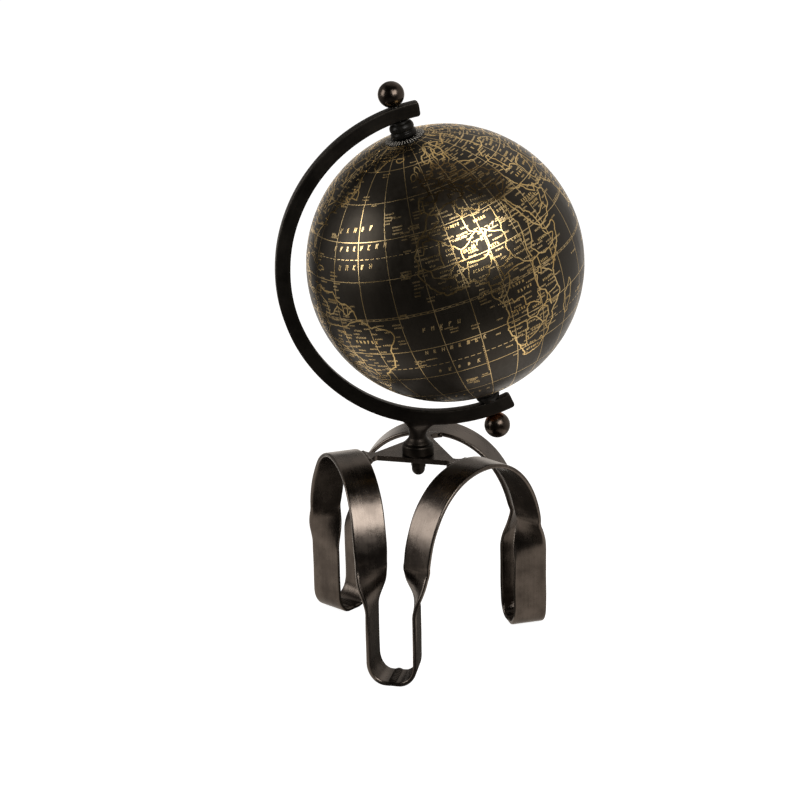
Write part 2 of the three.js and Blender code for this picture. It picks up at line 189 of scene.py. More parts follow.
def metal(name, dark, light, edge, rough, brushed=0.2, hammered=0.12, wear=(0.25, 0.9)):
    """Patinated metal: blotches of two tones, faint brush lines and lighter edges."""
    material, tree, shader = new_material(name, Metallic=1.0)
    place = object_place(tree)
    blotch = noise(tree, place, scale=46.0, detail=6.0, roughness=0.62)
    fine = noise(tree, place, scale=420.0, detail=3.0)
    brush = noise(tree, stretch(tree, surface_place(tree), 22.0, 900.0, 900.0), 1.0, 3.0)
    grain = combine(tree, "ADD", combine(tree, "MULTIPLY", blotch, 0.8),
                    combine(tree, "MULTIPLY", brush, 0.2))
    colour = blend_colour(tree, span(tree, grain, 0.40, 0.62, 0.0, 1.0), dark, light)
    rim = add(tree, "Attribute", attribute_name="rim").outputs["Fac"]
    worn = combine(tree, "MULTIPLY", rim, span(tree, fine, 0.4, 0.6, wear[0], wear[1]))
    colour = blend_colour(tree, worn, colour, edge)
    rough_now = span(tree, grain, 0.35, 0.65, rough[0], rough[1])
    normal = bump(tree, brush, brushed, 0.03)
    normal = bump(tree, noise(tree, place, scale=85.0, detail=3.0), hammered, 1.2, normal)
    link(tree, shader, Base_Color=colour, Roughness=rough_now, Normal=normal)
    return material


# Painted dark reflection: a brown patch over Europe and north-west Africa where the print is darkened
# as by a dark reflection. Each spot: unit vector from the globe's centre, reach in globe radii and
# strength
DARK_REFLECTION_SPOTS = [((-0.10, -0.60, 0.80), 0.20, 1.0), ((0.19, -0.60, 0.78), 0.17, 1.0),
          ((-0.31, -0.80, 0.52), 0.16, 0.46), ((-0.20, -0.97, 0.18), 0.15, 0.44)]
# Colours of the painted dark reflection on the ink and on the paper
DARK_REFLECTION_INK, DARK_REFLECTION_PAPER = (0.17, 0.108, 0.046, 1), (0.013, 0.0085, 0.0045, 1)


def dark_reflection_share(tree):
    """How far the print is darkened brown by the painted dark reflection: 0 outside the patch and 1
    inside it, with a ragged edge.
    """
    place = object_place(tree)
    radius = GLOBE_R * MM
    share = 0.0
    for middle, reach, strength in DARK_REFLECTION_SPOTS:
        centre = GLOBE_CENTRE + Vector(middle).normalized() * radius
        gap = add(tree, "VectorMath", {0: place, 1: tuple(centre)}, operation="DISTANCE").outputs[1]
        near = span(tree, gap, 1.35 * reach * radius, 0.65 * reach * radius, 0.0, strength)
        share = combine(tree, "MAXIMUM", near, share)
    ragged = combine(tree, "SUBTRACT", noise(tree, place, scale=170.0, detail=5.0, roughness=0.7), 0.5)
    share = combine(tree, "ADD", share, combine(tree, "MULTIPLY", ragged, 0.9))
    return span(tree, share, 0.28, 0.68, 0.0, 1.0)


def globe_paper(name):
    """Varnished black print with faint brush lines along the meridians."""
    material, tree, shader = new_material(name, Specular_IOR_Level=0.42,
                                          Specular_Tint=(1.0, 0.88, 0.72, 1))
    lay = surface_place(tree)
    streak = noise(tree, stretch(tree, lay, 1.0, 1.0, 0.07), 330.0, 4.0)
    cloud = noise(tree, lay, scale=26.0, detail=5.0, roughness=0.6)
    colour = blend_colour(tree, span(tree, cloud, 0.35, 0.65, 0.0, 1.0),
                          (0.0022, 0.0019, 0.0015, 1), (0.0042, 0.0034, 0.0025, 1))
    # Painted dark reflection: the paper turns dark brown in patches inside it
    reflection_smear = span(tree, noise(tree, lay, scale=260.0, detail=5.0, roughness=0.7), 0.40, 0.62, 0.0, 0.50)
    reflection_smear = combine(tree, "MULTIPLY", reflection_smear, dark_reflection_share(tree))
    colour = blend_colour(tree, reflection_smear, colour, DARK_REFLECTION_PAPER)
    rough = span(tree, combine(tree, "ADD", streak, cloud), 0.75, 1.25, 0.29, 0.41)
    normal = bump(tree, streak, 0.16, 0.06)
    normal = bump(tree, noise(tree, lay, scale=150.0, detail=2.0), 0.06, 0.8, normal)
    link(tree, shader, Base_Color=colour, Roughness=rough, Normal=normal)
    return material


def gold_ink(name, bright, tarnish, metallic=1.0, roughness=0.14, reflection_darkening=0.0):
    """Metallic ink of two tones. Its last argument is how far it turns brown inside the patch of
    painted dark reflection.
    """
    material, tree, shader = new_material(name, Metallic=metallic)
    lay = object_place(tree)
    patch = noise(tree, lay, scale=60.0, detail=5.0, roughness=0.65)
    speck = noise(tree, lay, scale=900.0, detail=2.0)
    share = span(tree, combine(tree, "ADD", combine(tree, "MULTIPLY", patch, 0.85),
                               combine(tree, "MULTIPLY", speck, 0.15)), 0.40, 0.60, 0.0, 1.0)
    colour = blend_colour(tree, share, tarnish, bright)
    # Painted dark reflection: the ink turns brown inside the patch
    if reflection_darkening:
        reflection_faded = combine(tree, "MULTIPLY", dark_reflection_share(tree), reflection_darkening)
        colour = blend_colour(tree, reflection_faded, colour, DARK_REFLECTION_INK)
    link(tree, shader, Base_Color=colour,
         Roughness=span(tree, patch, 0.35, 0.65, roughness, roughness + 0.10))
    return material


def black_moulding(name, colour=(0.0028, 0.0026, 0.0022, 1), rough=(0.24, 0.40)):
    """Dull black plastic with faint mottling."""
    material, tree, shader = new_material(name, Specular_IOR_Level=0.16)
    place = object_place(tree)
    fine = noise(tree, place, scale=700.0, detail=3.0)
    wide = noise(tree, place, scale=90.0, detail=4.0)
    lighter = tuple(c * 1.9 for c in colour[:3]) + (1,)
    link(tree, shader,
         Base_Color=blend_colour(tree, span(tree, wide, 0.35, 0.65, 0.0, 1.0), colour, lighter),
         Roughness=span(tree, combine(tree, "ADD", fine, wide), 0.7, 1.3, rough[0], rough[1]),
         Normal=bump(tree, fine, 0.15, 0.05))
    return material


def ball_metal(name, patch_axis=None):
    """Polished dark bronze. With patch_axis it has a copper-orange tint round its seat."""
    material, tree, shader = new_material(name, Metallic=1.0)
    place = object_place(tree)
    blotch = noise(tree, place, scale=130.0, detail=5.0, roughness=0.65)
    colour = blend_colour(tree, span(tree, blotch, 0.35, 0.65, 0.0, 1.0),
                          (0.056, 0.044, 0.036, 1), (0.094, 0.077, 0.065, 1))
    if patch_axis is not None:
        near = add(tree, "Attribute", attribute_name="seat").outputs["Fac"]
        ragged = combine(tree, "ADD", near, combine(tree, "MULTIPLY", blotch, 0.35))
        colour = blend_colour(tree, span(tree, ragged, 0.86, 1.06, 0.0, 0.85), colour,
                              (0.42, 0.13, 0.035, 1))
    link(tree, shader, Base_Color=colour,
         Roughness=span(tree, noise(tree, place, scale=320.0, detail=3.0), 0.3, 0.7, 0.19, 0.30),
         Normal=bump(tree, noise(tree, place, scale=240.0, detail=3.0), 0.10, 0.2))
    return material


bronzed = metal("bronzed_strap", (0.077, 0.065, 0.057, 1), (0.147, 0.125, 0.110, 1),
                (0.15, 0.130, 0.115, 1), (0.21, 0.32), brushed=0.10, hammered=0.12, wear=(0.2, 0.6))
charcoal = metal("charcoal_bar", (0.021, 0.0190, 0.0165, 1), (0.034, 0.0305, 0.0265, 1),
                 (0.050, 0.045, 0.040, 1), (0.40, 0.52), brushed=0.08, hammered=0.08)
turned = metal("turned_bronze", (0.018, 0.0155, 0.013, 1), (0.038, 0.032, 0.0275, 1),
               (0.14, 0.12, 0.10, 1), (0.36, 0.48), brushed=0.3, hammered=0.08)
weld_metal = metal("weld_metal", (0.040, 0.033, 0.028, 1), (0.080, 0.066, 0.056, 1),
                   (0.12, 0.10, 0.09, 1), (0.36, 0.55), hammered=0.35)
steel = metal("plain_steel", (0.24, 0.235, 0.23, 1), (0.38, 0.37, 0.36, 1),
              (0.5, 0.5, 0.5, 1), (0.28, 0.42))
ball_bronze = ball_metal("ball_bronze")
ball_rusty = ball_metal("ball_bronze_rusty", patch_axis=True)
paper = globe_paper("globe_print_black")
# Both inks darken inside the painted dark reflection patch, the bold one more
gold_bold = gold_ink("gold_ink_bold", (1.0, 0.76, 0.37, 1), (0.80, 0.55, 0.22, 1), roughness=0.17,
                     reflection_darkening=0.95)
gold_fine = gold_ink("gold_ink_fine", (0.96, 0.74, 0.40, 1), (0.70, 0.51, 0.24, 1), roughness=0.22,
                     reflection_darkening=0.5)
tick_grey = gold_ink("dial_tick_grey", (0.80, 0.77, 0.70, 1), (0.56, 0.53, 0.48, 1), metallic=0.0,
                     roughness=0.5)
plastic = black_moulding("black_plastic")
nylon = black_moulding("nylon", (0.022, 0.022, 0.022, 1), (0.45, 0.6))


# ---- Mesh helpers ------------------------------------------------------------

def make_object(name, points, faces, material, place, lay=None, rim=None, sharp=32.0):
    """A mesh object from points in millimetres. lay and rim are read by the materials."""
    points = np.asarray(points, float).reshape(-1, 3)
    mesh = bpy.data.meshes.new(name)
    mesh.from_pydata([tuple(p) for p in points], [], faces)
    mesh.transform(place)
    if lay is not None:
        values = np.asarray(lay, np.float32).reshape(-1, 3) * MM
        mesh.attributes.new("lay", "FLOAT_VECTOR", "POINT").data.foreach_set("vector", values.ravel())
    if rim is not None:
        values = np.asarray(rim, np.float32).ravel()
        mesh.attributes.new("rim", "FLOAT", "POINT").data.foreach_set("value", values)
    shape = bmesh.new()
    shape.from_mesh(mesh)
    bmesh.ops.recalc_face_normals(shape, faces=shape.faces)
    shape.to_mesh(mesh)
    shape.free()
    mesh.materials.append(material)
    mesh.shade_smooth()
    mesh.set_sharp_from_angle(angle=math.radians(sharp))
    piece = bpy.data.objects.new(name, mesh)
    bpy.context.scene.collection.objects.link(piece)
    return piece


def show(piece, body, slot, *nodes):
    """The piece rides on body and stands for these CAD nodes, which it hides. slot is not used."""
    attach(piece, body)
    if nodes:
        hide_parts(*nodes)
    return piece


def soften(piece, width_mm, segments=3, angle=28.0):
    """Rounds the piece's edges with a bevel."""
    modifier = piece.modifiers.new("soft_edges", "BEVEL")
    modifier.width = width_mm * MM
    modifier.segments = segments
    modifier.limit_method = "ANGLE"
    modifier.angle_limit = math.radians(angle)
    modifier.harden_normals = True
    return piece


def skin_faces(rings, around):
    """Quads between rings of points, with a flat face at each end."""
    faces = []
    for i in range(rings - 1):
        for j in range(around):
            a, b = i * around + j, i * around + (j + 1) % around
            faces.append((a, b, b + around, a + around))
    last = (rings - 1) * around
    faces.append(tuple(range(around - 1, -1, -1)))
    faces.append(tuple(range(last, last + around)))
    return faces


def turned_mesh(name, profile, material, place, segments=96, sharp=32.0, closed=False):
    """A profile of (radius, height) turned about Z. With closed it is a ring's section."""
    points, rows, lay = [], [], []
    for r, z in profile:
        if r < 1e-6:
            rows.append([len(points)] * segments)
            points.append((0, 0, z))
            lay.append((0, 0, z))
            continue
        rows.append(range(len(points), len(points) + segments))
        for j in range(segments):
            a = 2 * math.pi * j / segments
            points.append((r * math.cos(a), r * math.sin(a), z))
            lay.append((0, r, z))
    if closed:
        rows.append(rows[0])
    faces = []
    for upper, lower in zip(rows, rows[1:]):
        for j in range(segments):
            k = (j + 1) % segments
            ring = [upper[j], upper[k], lower[k], lower[j]]
            faces.append(tuple(dict.fromkeys(ring)))
    return make_object(name, points, faces, material, place, lay, sharp=sharp)


def round_profile(points, radius, steps=4):
    """The profile with each inner corner rounded by a short arc."""
    done = [points[0]]
    for before, here, after in zip(points, points[1:], points[2:]):
        p, a, b = np.array(here, float), np.array(before, float), np.array(after, float)
        cut = min(radius, np.linalg.norm(a - p) * 0.45, np.linalg.norm(b - p) * 0.45)
        start = p + (a - p) / np.linalg.norm(a - p) * cut
        end = p + (b - p) / np.linalg.norm(b - p) * cut
        for i in range(steps + 1):
            t = i / steps
            done.append(tuple((1 - t) ** 2 * start + 2 * t * (1 - t) * p + t * t * end))
    done.append(points[-1])
    return done


def bar_section(half_width, half_thick, edge, steps=4, shoulder=1.5):
    """Rounded rectangle as (x, y, rim) round the bar; rim is 1 on the rounded edges."""
    section = []
    for sx, sy, start in ((1, 1, 0), (-1, 1, 90), (-1, -1, 180), (1, -1, 270)):
        for i in range(steps + 1):
            a = math.radians(start + 90 * i / steps)
            section.append((sx * (half_width - edge) + edge * math.cos(a),
                            sy * (half_thick - edge) + edge * math.sin(a), 1.0))
        flat = half_width - edge - shoulder
        if start in (0, 180):
            section.append((sx * flat, sy * half_thick, 0.0))
            section.append((-sx * flat, sy * half_thick, 0.0))
    return section


def smoothstep(x):
    s = min(max(x, 0.0), 1.0)
    return s * s * (3 - 2 * s)


def direction(angle):
    return np.array([math.cos(angle), math.sin(angle), 0.0])


def ripple(p, scale, seed=0.0):
    """A smooth wave in space from -1 to 1, for hand-made unevenness."""
    x, y, z = (c / scale for c in p)
    return (math.sin(1.7 * x + 0.6 * y + seed) + math.sin(1.3 * y - 0.8 * z + 2.1 * seed)
            + math.sin(1.9 * z + 0.7 * x - seed)) / 3


# ---- Stand: straps -----------------------------------------------------------

# Hand-made unevenness of the straps: wave depths and pitches, a narrowing at the top of each
# twist, a pinched fold at its edges, and the height up to which the feet stay true
FACE_WAVE, FACE_PITCH = 0.22, 17.0
EDGE_WAVE, EDGE_PITCH = 0.25, 9.0
WAIST_DEPTH, WAIST_DROP, WAIST_REACH = 0.6, 3, 9
PINCH_DEPTH, PINCH_DROP, PINCH_REACH, PINCH_OFFSET, PINCH_WIDTH = 0.9, 2, 3.2, 11, 4
TRUE_UP_TO, TRUE_FADE = 6, 12

def half_strap(k):
    """Centreline points and width directions, from arch k's crown to the weld under a foot."""
    _, crown, lean = ARCHES[k]
    facing = FOOT_ANGLE + math.radians(60 + 120 * k)
    normal, along = direction(facing), direction(facing + math.pi / 2)
    foot, across = direction(facing + math.pi / 3), direction(facing + 5 * math.pi / 6)
    leg = foot * FOOT_RADIUS - across * LEG_HALF_GAP
    out, side, rise = leg @ normal, leg @ along, crown - SPRING_Z
    stations = []

    def twist_at(z):
        return TWIST * smoothstep((TWIST_TOP - z) / (TWIST_TOP - TWIST_BOTTOM))

    arch_steps, leg_steps, foot_steps = 48, 56, 20
    for i in range(arch_steps):
        a = i / arch_steps * math.pi / 2
        up = math.cos(a) ** (2 / ARCH_POWER)
        p = normal * (out - lean * up ** 1.5) + along * (side * math.sin(a) ** (2 / ARCH_POWER))
        p[2] = SPRING_Z + rise * up
        stations.append((p, facing + twist_at(p[2])))
    for i in range(leg_steps):
        z = SPRING_Z + (FOOT_RISE - SPRING_Z) * i / leg_steps
        stations.append((np.array([leg[0], leg[1], z]), facing + twist_at(z)))
    floor = STRAP_THICK / 2
    for i in range(foot_steps + 1):
        a = i / foot_steps * math.pi / 2
        s = FOOT_FLAT + (LEG_HALF_GAP - FOOT_FLAT) * math.cos(a)
        p = foot * FOOT_RADIUS - across * s
        p[2] = FOOT_RISE - (FOOT_RISE - floor) * math.sin(a)
        turn = TWIST + (math.pi / 3 - TWIST) * (1 - math.cos(a))
        stations.append((p, facing + turn))
    for s in (FOOT_FLAT - 0.7, FOOT_FLAT - 2.0, WELD_HALF):
        p = foot * FOOT_RADIUS - across * s
        p[2] = floor
        stations.append((p, facing + math.pi / 3))
    return stations, along


def strap(k):
    """Arch k with the half foot at each end, swept along the strap's centreline."""
    stations, along = half_strap(k)

    def mirror(v):
        return v - 2 * (v @ along) * along

    path = [(mirror(p), mirror(direction(a))) for p, a in reversed(stations[1:])]
    path += [(p, direction(a)) for p, a in stations]
    section = bar_section(STRAP_WIDTH / 2, STRAP_THICK / 2, edge=1.2)
    points, lay, rim, length = [], [], [], 0.0
    for i, (p, w) in enumerate(path):
        before, after = path[max(i - 1, 0)][0], path[min(i + 1, len(path) - 1)][0]
        thick = np.cross(after - before, w)
        thick /= np.linalg.norm(thick)
        length += np.linalg.norm(p - before)
        waist = math.exp(-((p[2] - (TWIST_TOP - WAIST_DROP)) / WAIST_REACH) ** 2)
        for x, y, r in section:
            here = p + BASE_CENTRE + w * x + thick * y
            free = smoothstep((here[2] - TRUE_UP_TO) / TRUE_FADE)
            here = here + thick * free * FACE_WAVE * ripple(here, FACE_PITCH, k)
            edge = EDGE_WAVE * ripple(here, EDGE_PITCH, k + 3) - WAIST_DEPTH * waist
            here = here + w * free * (x / (STRAP_WIDTH / 2)) * edge
            pinch = math.exp(-((here[2] - TWIST_TOP + PINCH_DROP) / PINCH_REACH) ** 2
                             - ((abs(x) - PINCH_OFFSET) / PINCH_WIDTH) ** 2)
            here = here + thick * PINCH_DEPTH * pinch * math.copysign(1, x)
            points.append(here)
            lay.append((length, x, y))
            rim.append(r)
    name = ARCHES[k][0]
    faces = skin_faces(len(path), len(section))
    piece = make_object(f"strap_{name}", points, faces, bronzed, STAND, lay, rim, sharp=40)
    show(piece, "stand", "bronzed_strap", f"leg_strap_{name}")


# ---- Stand: welds ------------------------------------------------------------

def bead(name, start, end, section, node, wave=0.35, pitch=2.6, steps=64, finish=None):
    """A weld bead between two points. section gives (across, up) pairs about its line."""
    start, end = np.array(start, float), np.array(end, float)
    run = end - start
    run_length = np.linalg.norm(run)
    forward = run / run_length
    up = np.array([0.0, 0.0, 1.0])
    side = np.cross(forward, up)
    points, lay = [], []
    for i in range(steps + 1):
        t = i / steps
        taper = min(1.0, 0.55 + 4.5 * min(t, 1 - t))
        swell = taper * (1 + wave * (abs(math.sin(math.pi * t * run_length / pitch)) - 0.6))
        centre = start + run * t
        for x, z in section:
            grow = swell if z > 0 else 1.0
            here = centre + side * x * (0.6 + 0.4 * swell) + up * z * grow
            here = here + up * 0.12 * ripple(here, 1.3, 5.0) * (1 if z > 0 else 0)
            points.append(here)
            lay.append((t * run_length, x, z))
    faces = skin_faces(steps + 1, len(section))
    piece = make_object(name, points, faces, finish or weld_metal, STAND, lay, sharp=55)
    show(piece, "stand", "weld", node)


def foot_weld(k):
    """Closes the gap between two strap ends under a foot and stands proud on the inside."""
    angle = FOOT_ANGLE + math.radians(120 * (k + 1))
    centre = BASE_CENTRE + direction(angle) * FOOT_RADIUS + np.array([0, 0, STRAP_THICK])
    half = STRAP_WIDTH / 2 - 0.5
    section = [(3.3, -0.3), (2.7, 0.45), (1.8, 1.0), (0.7, 1.35), (-0.7, 1.35), (-1.8, 1.0),
               (-2.7, 0.45), (-3.3, -0.3), (-1.3, -0.4), (-1.15, -2.9), (1.15, -2.9), (1.3, -0.4)]
    bead(f"foot_bead_{FEET[k]}", centre - direction(angle) * half, centre + direction(angle) * half,
         section, f"foot_weld_{FEET[k]}", wave=0.28)


def crown_inner(k):
    """Distance from the base's centre to arch k's inner edge at its crown."""
    out = FOOT_RADIUS * math.cos(math.pi / 3) + LEG_HALF_GAP * math.sin(math.pi / 3)
    return out - ARCHES[k][2] - STRAP_WIDTH / 2


def corner_weld(k):
    """The bead between a flared corner of the plate and arch k's inner edge."""
    angle = FOOT_ANGLE + math.radians(60 + 120 * k)
    radius = crown_inner(k) - CORNER_WELD / 2
    middle = (PLATE_TOP - PLATE_THICK / 2 + ARCHES[k][1]) / 2
    centre = BASE_CENTRE + direction(angle) * radius + np.array([0, 0, middle])
    along = direction(angle + math.pi / 2) * (FLARE_HALF - 0.3)
    section = [(1.5, -1.2), (1.6, 0.0), (1.5, 1.2), (0.8, 1.75), (-0.8, 1.75), (-1.5, 1.2),
               (-1.6, 0.0), (-1.5, -1.2), (-0.7, -1.6), (0.7, -1.6)]
    name = ARCHES[k][0]
    bead(f"corner_bead_{name}", centre - along, centre + along, section,
         f"corner_weld_{name}", wave=0.07, pitch=2.2, finish=bronzed)


# ---- Stand: plate, nut, stem, arc, balls ----------------------------------------

def quadratic(a, control, b, steps):
    """Points along a quadratic curve."""
    a, control, b = (np.array(p, float) for p in (a, control, b))
    return [(1 - t) ** 2 * a + 2 * t * (1 - t) * control + t * t * b
            for t in (i / steps for i in range(steps + 1))]


def base_plate():
    """Triangular plate with hollow sides and corners that flare to the arches."""
    outline = []
    for k in range(3):
        angle = FOOT_ANGLE + math.radians(60 + 120 * k)
        end = crown_inner(k) - CORNER_WELD * 0.6
        u, v = direction(angle)[:2], direction(angle + math.pi / 2)[:2]

        def at(r, s):
            return r * u + s * v

        outline += quadratic(at(end - FLARE_LENGTH, -CORNER_HALF - 0.4),
                             at(end - 2.2, -CORNER_HALF - 1.6), at(end, -FLARE_HALF), 14)
        outline += quadratic(at(end, FLARE_HALF), at(end - 2.2, CORNER_HALF + 1.6),
                             at(end - FLARE_LENGTH, CORNER_HALF + 0.4), 14)
    count = len(outline)
    points = [(p[0], p[1], z) for z in (PLATE_TOP - PLATE_THICK, PLATE_TOP) for p in outline]
    points = np.array(points) + np.array([BASE_CENTRE[0], BASE_CENTRE[1], 0])
    lay = [(p[0], p[1], p[2]) for p in points]
    piece = make_object("base_plate_rounded", points, skin_faces(2, count), bronzed, STAND, lay)
    soften(piece, 0.7, angle=50)
    show(piece, "stand", "bronzed_strap", "base_plate")


def fixing():
    """Washer and dome nut under the plate. The stud stays inside them."""
    top = PLATE_TOP - PLATE_THICK
    below = top - WASHER_THICK
    ring = [(3.2, below), (5.7, below), (6.0, below + 0.3), (6.0, top), (3.2, top)]
    washer = turned_mesh("washer_bevelled", round_profile(ring, 0.25), steel, STAND, 64, closed=True)
    show(washer, "stand", "plain_steel", "washer")

    nut_top = below
    hexagon = bmesh.new()
    bmesh.ops.create_cone(hexagon, cap_ends=True, segments=6, radius1=NUT_FLATS / math.sqrt(3),
                          radius2=NUT_FLATS / math.sqrt(3), depth=NUT_HEX_HEIGHT,
                          matrix=Matrix.Translation((0, 0, nut_top - NUT_HEX_HEIGHT / 2)))
    dome_r = NUT_FLATS / 2 - 0.15
    shoulder = nut_top - NUT_HEIGHT + dome_r
    points = [tuple(v.co) for v in hexagon.verts]
    faces = [tuple(v.index for v in f.verts) for f in hexagon.faces]
    hexagon.free()
    base = make_object("dome_nut_hexagon", points, faces, turned, STAND)
    soften(base, 0.45)
    show(base, "stand", "turned_bronze", "dome_nut")
    profile = [(0, nut_top - 1), (dome_r, nut_top - 1), (dome_r, shoulder)]
    steps = 16
    for i in range(1, steps + 1):
        t = i / steps * math.pi / 2
        radius = dome_r * math.cos(t) if i < steps else 0
        profile.append((radius, shoulder - dome_r * math.sin(t)))
    cap = turned_mesh("dome_nut_cap", profile, turned, STAND, 64)
    show(cap, "stand", "turned_bronze", "dome_nut")


# Height, half width to the left and to the right, half depth, and superellipse power
STEM_LEVELS = np.array([
    [157.2, 9.4, 9.4, 9.4, 2], [158.2, 9.25, 9.25, 9.25, 2], [159.3, 8.4, 8.4, 8.4, 2],
    [160.5, 7.4, 7.4, 7.4, 2], [161.9, 6.7, 6.7, 6.7, 2], [163.4, 6.5, 6.5, 6.5, 2],
    [165.2, 6.5, 6.8, 6.3, 2.1], [167.4, 6.7, 7.6, 5.8, 2.4], [169, 7, 8.9, 5.3, 2.8],
    [170.4, 7.5, 11, 4.7, 3.2], [171.6, 8.1, 14, 4.2, 3.6], [173, 9.2, 16, 3.95, 4],
    [174.6, 10.9, 16.4, 3.8, 4.4], [176.4, 13.6, 16.6, 3.7, 5]])


def stem():
    """Turned neck that spreads into the arc's flat section above."""
    sides, levels = 72, 60
    heights = np.linspace(STEM_LEVELS[0, 0], STEM_LEVELS[-1, 0], levels)
    columns = [smooth_column(STEM_LEVELS[:, 0], STEM_LEVELS[:, i], heights) for i in range(1, 5)]
    points, lay = [], []
    for z, left, right, depth, power in zip(heights, *columns):
        for j in range(sides):
            t = 2 * math.pi * j / sides
            c, s = math.cos(t), math.sin(t)
            x = (left if c < 0 else right) * math.copysign(abs(c) ** (2 / power), c)
            y = depth * math.copysign(abs(s) ** (2 / power), s)
            points.append((x, y, z))
            lay.append((0, math.hypot(x, y), z))
    piece = make_object("stem_neck", points, skin_faces(levels, sides), turned, STAND, lay, sharp=60)
    show(piece, "stand", "turned_bronze", "stem")
    base, top = PLATE_TOP, PLATE_TOP + FLANGE_HEIGHT + 0.2
    ring = [(0, base), (FLANGE_R - 0.6, base), (FLANGE_R, base + 0.7), (FLANGE_R, top - 1.7),
            (FLANGE_R - 0.5, top - 0.6), (FLANGE_R - 1.5, top - 0.15), (0, top)]
    flange = turned_mesh("stem_flange_turned", round_profile(ring, 0.5), turned, STAND, 96)
    show(flange, "stand", "turned_bronze", "stem_flange")


def smooth_column(x, y, at):
    """Catmull-Rom values through (x, y) at the given places."""
    slopes = np.gradient(y, x)
    i = np.clip(np.searchsorted(x, at) - 1, 0, len(x) - 2)
    width = x[i + 1] - x[i]
    t = (at - x[i]) / width
    return ((2 * t ** 3 - 3 * t ** 2 + 1) * y[i] + (t ** 3 - 2 * t ** 2 + t) * width * slopes[i]
            + (3 * t ** 2 - 2 * t ** 3) * y[i + 1] + (t ** 3 - t ** 2) * width * slopes[i + 1])


def meridian_arc():
    """The C-shaped bar, with rounded ends just past the axle."""
    middle = (ARC_OUTER + ARC_INNER) / 2
    half_radial, half_wide = (ARC_OUTER - ARC_INNER) / 2, ARC_WIDTH / 2
    section = bar_section(half_radial, half_wide, edge=0.8, shoulder=0.9)
    start, end = math.pi / 2 - ARC_OVERRUN, 1.5 * math.pi + ARC_OVERRUN
    steps, cap_steps, cap_radius = 220, 8, 2.2
    end_rim, end_narrowing, edge_wave, wave_pitch = 0.3, 0.30, 0.10, 14.0
    body_start, body_end = start + cap_radius / middle, end - cap_radius / middle
    cap = [(start + cap_radius * (1 - math.cos(math.pi / 2 * i / cap_steps)) / middle,
            cap_radius * (1 - math.sin(math.pi / 2 * i / cap_steps))) for i in range(cap_steps)]
    body = [(body_start + (body_end - body_start) * i / steps, 0.0) for i in range(steps + 1)]
    mirrored = [(start + end - a, inset) for a, inset in reversed(cap)]
    points, lay, rim = [], [], []
    for angle, inset in cap + body + mirrored:
        out = np.array([math.cos(angle), 0, math.sin(angle)])
        for w, t, r in section:
            w *= 1 - inset / half_radial
            t *= 1 - end_narrowing * inset / half_wide
            p = out * (middle + w) + np.array([0, t, 0])
            p = p + out * edge_wave * ripple(p, wave_pitch, 1.0) * (1 if abs(w) > 4 else 0)
            points.append(p)
            lay.append((angle * middle, w, t))
            rim.append(r if inset == 0 else end_rim)
    count = len(cap) * 2 + len(body)
    piece = make_object("meridian_arc_bar", points, skin_faces(count, len(section)), charcoal,
                        TILTED, lay, rim, sharp=40)
    show(piece, "stand", "charcoal_bar", "meridian_arc")


def ball_nut(side, name, material):
    """A ball seated on the arc's outer edge; side is 1 at the north and -1 at the south."""
    centre, seat = ARC_OUTER + BALL_R, ARC_OUTER + 0.05
    start = math.asin((seat + 0.35 - centre) / BALL_R)
    profile = [(0, seat)]
    steps = 40
    for i in range(steps + 1):
        a = start + (math.pi / 2 - start) * i / steps
        profile.append((BALL_R * math.cos(a) if i < steps else 0, centre + BALL_R * math.sin(a)))
    piece = turned_mesh(f"{name}_ball", [(r, side * z) for r, z in profile], material, TILTED, 72)
    mesh = piece.data
    heights = [abs((TILTED.inverted() @ v.co).z) for v in mesh.vertices]
    seat_near = [min(1.0, max(0.0, 1 - (h - seat) / BALL_R)) for h in heights]
    mesh.attributes.new("seat", "FLOAT", "POINT").data.foreach_set("value", seat_near)
    show(piece, "stand", "polished_ball", f"{name}_ball_nut")


def spacer(side, name):
    """Two-tier collar between globe and arc; side is 1 at the north and -1 at the south."""
    profile = [(2.8, 101.2), (8.8, 101.2), (9.3, 101.9), (9.2, 104.2), (8.3, 105.1), (8.3, 105.8),
               (9.0, 106.4), (8.8, 108.7), (7.8, 110.4), (6.3, 111.2), (6.3, 112.3), (2.8, 112.3)]
    rounded = round_profile(profile, 0.45)
    piece = turned_mesh(f"{name}_spacer_turned", [(r, side * z) for r, z in rounded], plastic,
                        TILTED, 80, closed=True)
    show(piece, "stand", "black_plastic", f"{name}_spacer")


for k in range(3):
    strap(k)
    foot_weld(k)
    corner_weld(k)
base_plate()
fixing()
stem()
meridian_arc()
ball_nut(1, "north", ball_bronze)
ball_nut(-1, "south", ball_rusty)
spacer(1, "north")
spacer(-1, "south")


# ---- Globe -------------------------------------------------------------------

def shell(side, name):
    """One printed half shell: outer and inner surface, from the seam to the pole hole."""
    wall_r = GLOBE_R - SHELL_WALL
    outer, inner = 96, 24
    profile = []
    for i in range(outer + 1):
        a = math.asin(SEAM_HALF / GLOBE_R) + (math.acos(POLE_HOLE_R / GLOBE_R)) * i / outer
        a = min(a, math.acos(POLE_HOLE_R / GLOBE_R))
        profile.append((GLOBE_R * math.cos(a), side * GLOBE_R * math.sin(a)))
    for i in range(inner, -1, -1):
        a = math.asin(SEAM_HALF / wall_r) + (math.acos(POLE_HOLE_R / wall_r) - 0.001) * i / inner
        profile.append((wall_r * math.cos(a), side * wall_r * math.sin(a)))
    piece = turned_mesh(f"{name}_half_globe", profile, paper, TILTED, 192, closed=True)
    back = TILTED.inverted()
    place = np.array([back @ v.co for v in piece.data.vertices], np.float32) * MM
    piece.data.attributes["lay"].data.foreach_set("vector", place.ravel())
    show(piece, "globe", "globe_shell", f"globe_{name}_shell")


BOX_FACES = [(0, 1, 2, 3), (4, 5, 6, 7), (0, 1, 5, 4), (1, 2, 6, 5), (2, 3, 7, 6), (3, 0, 4, 7)]


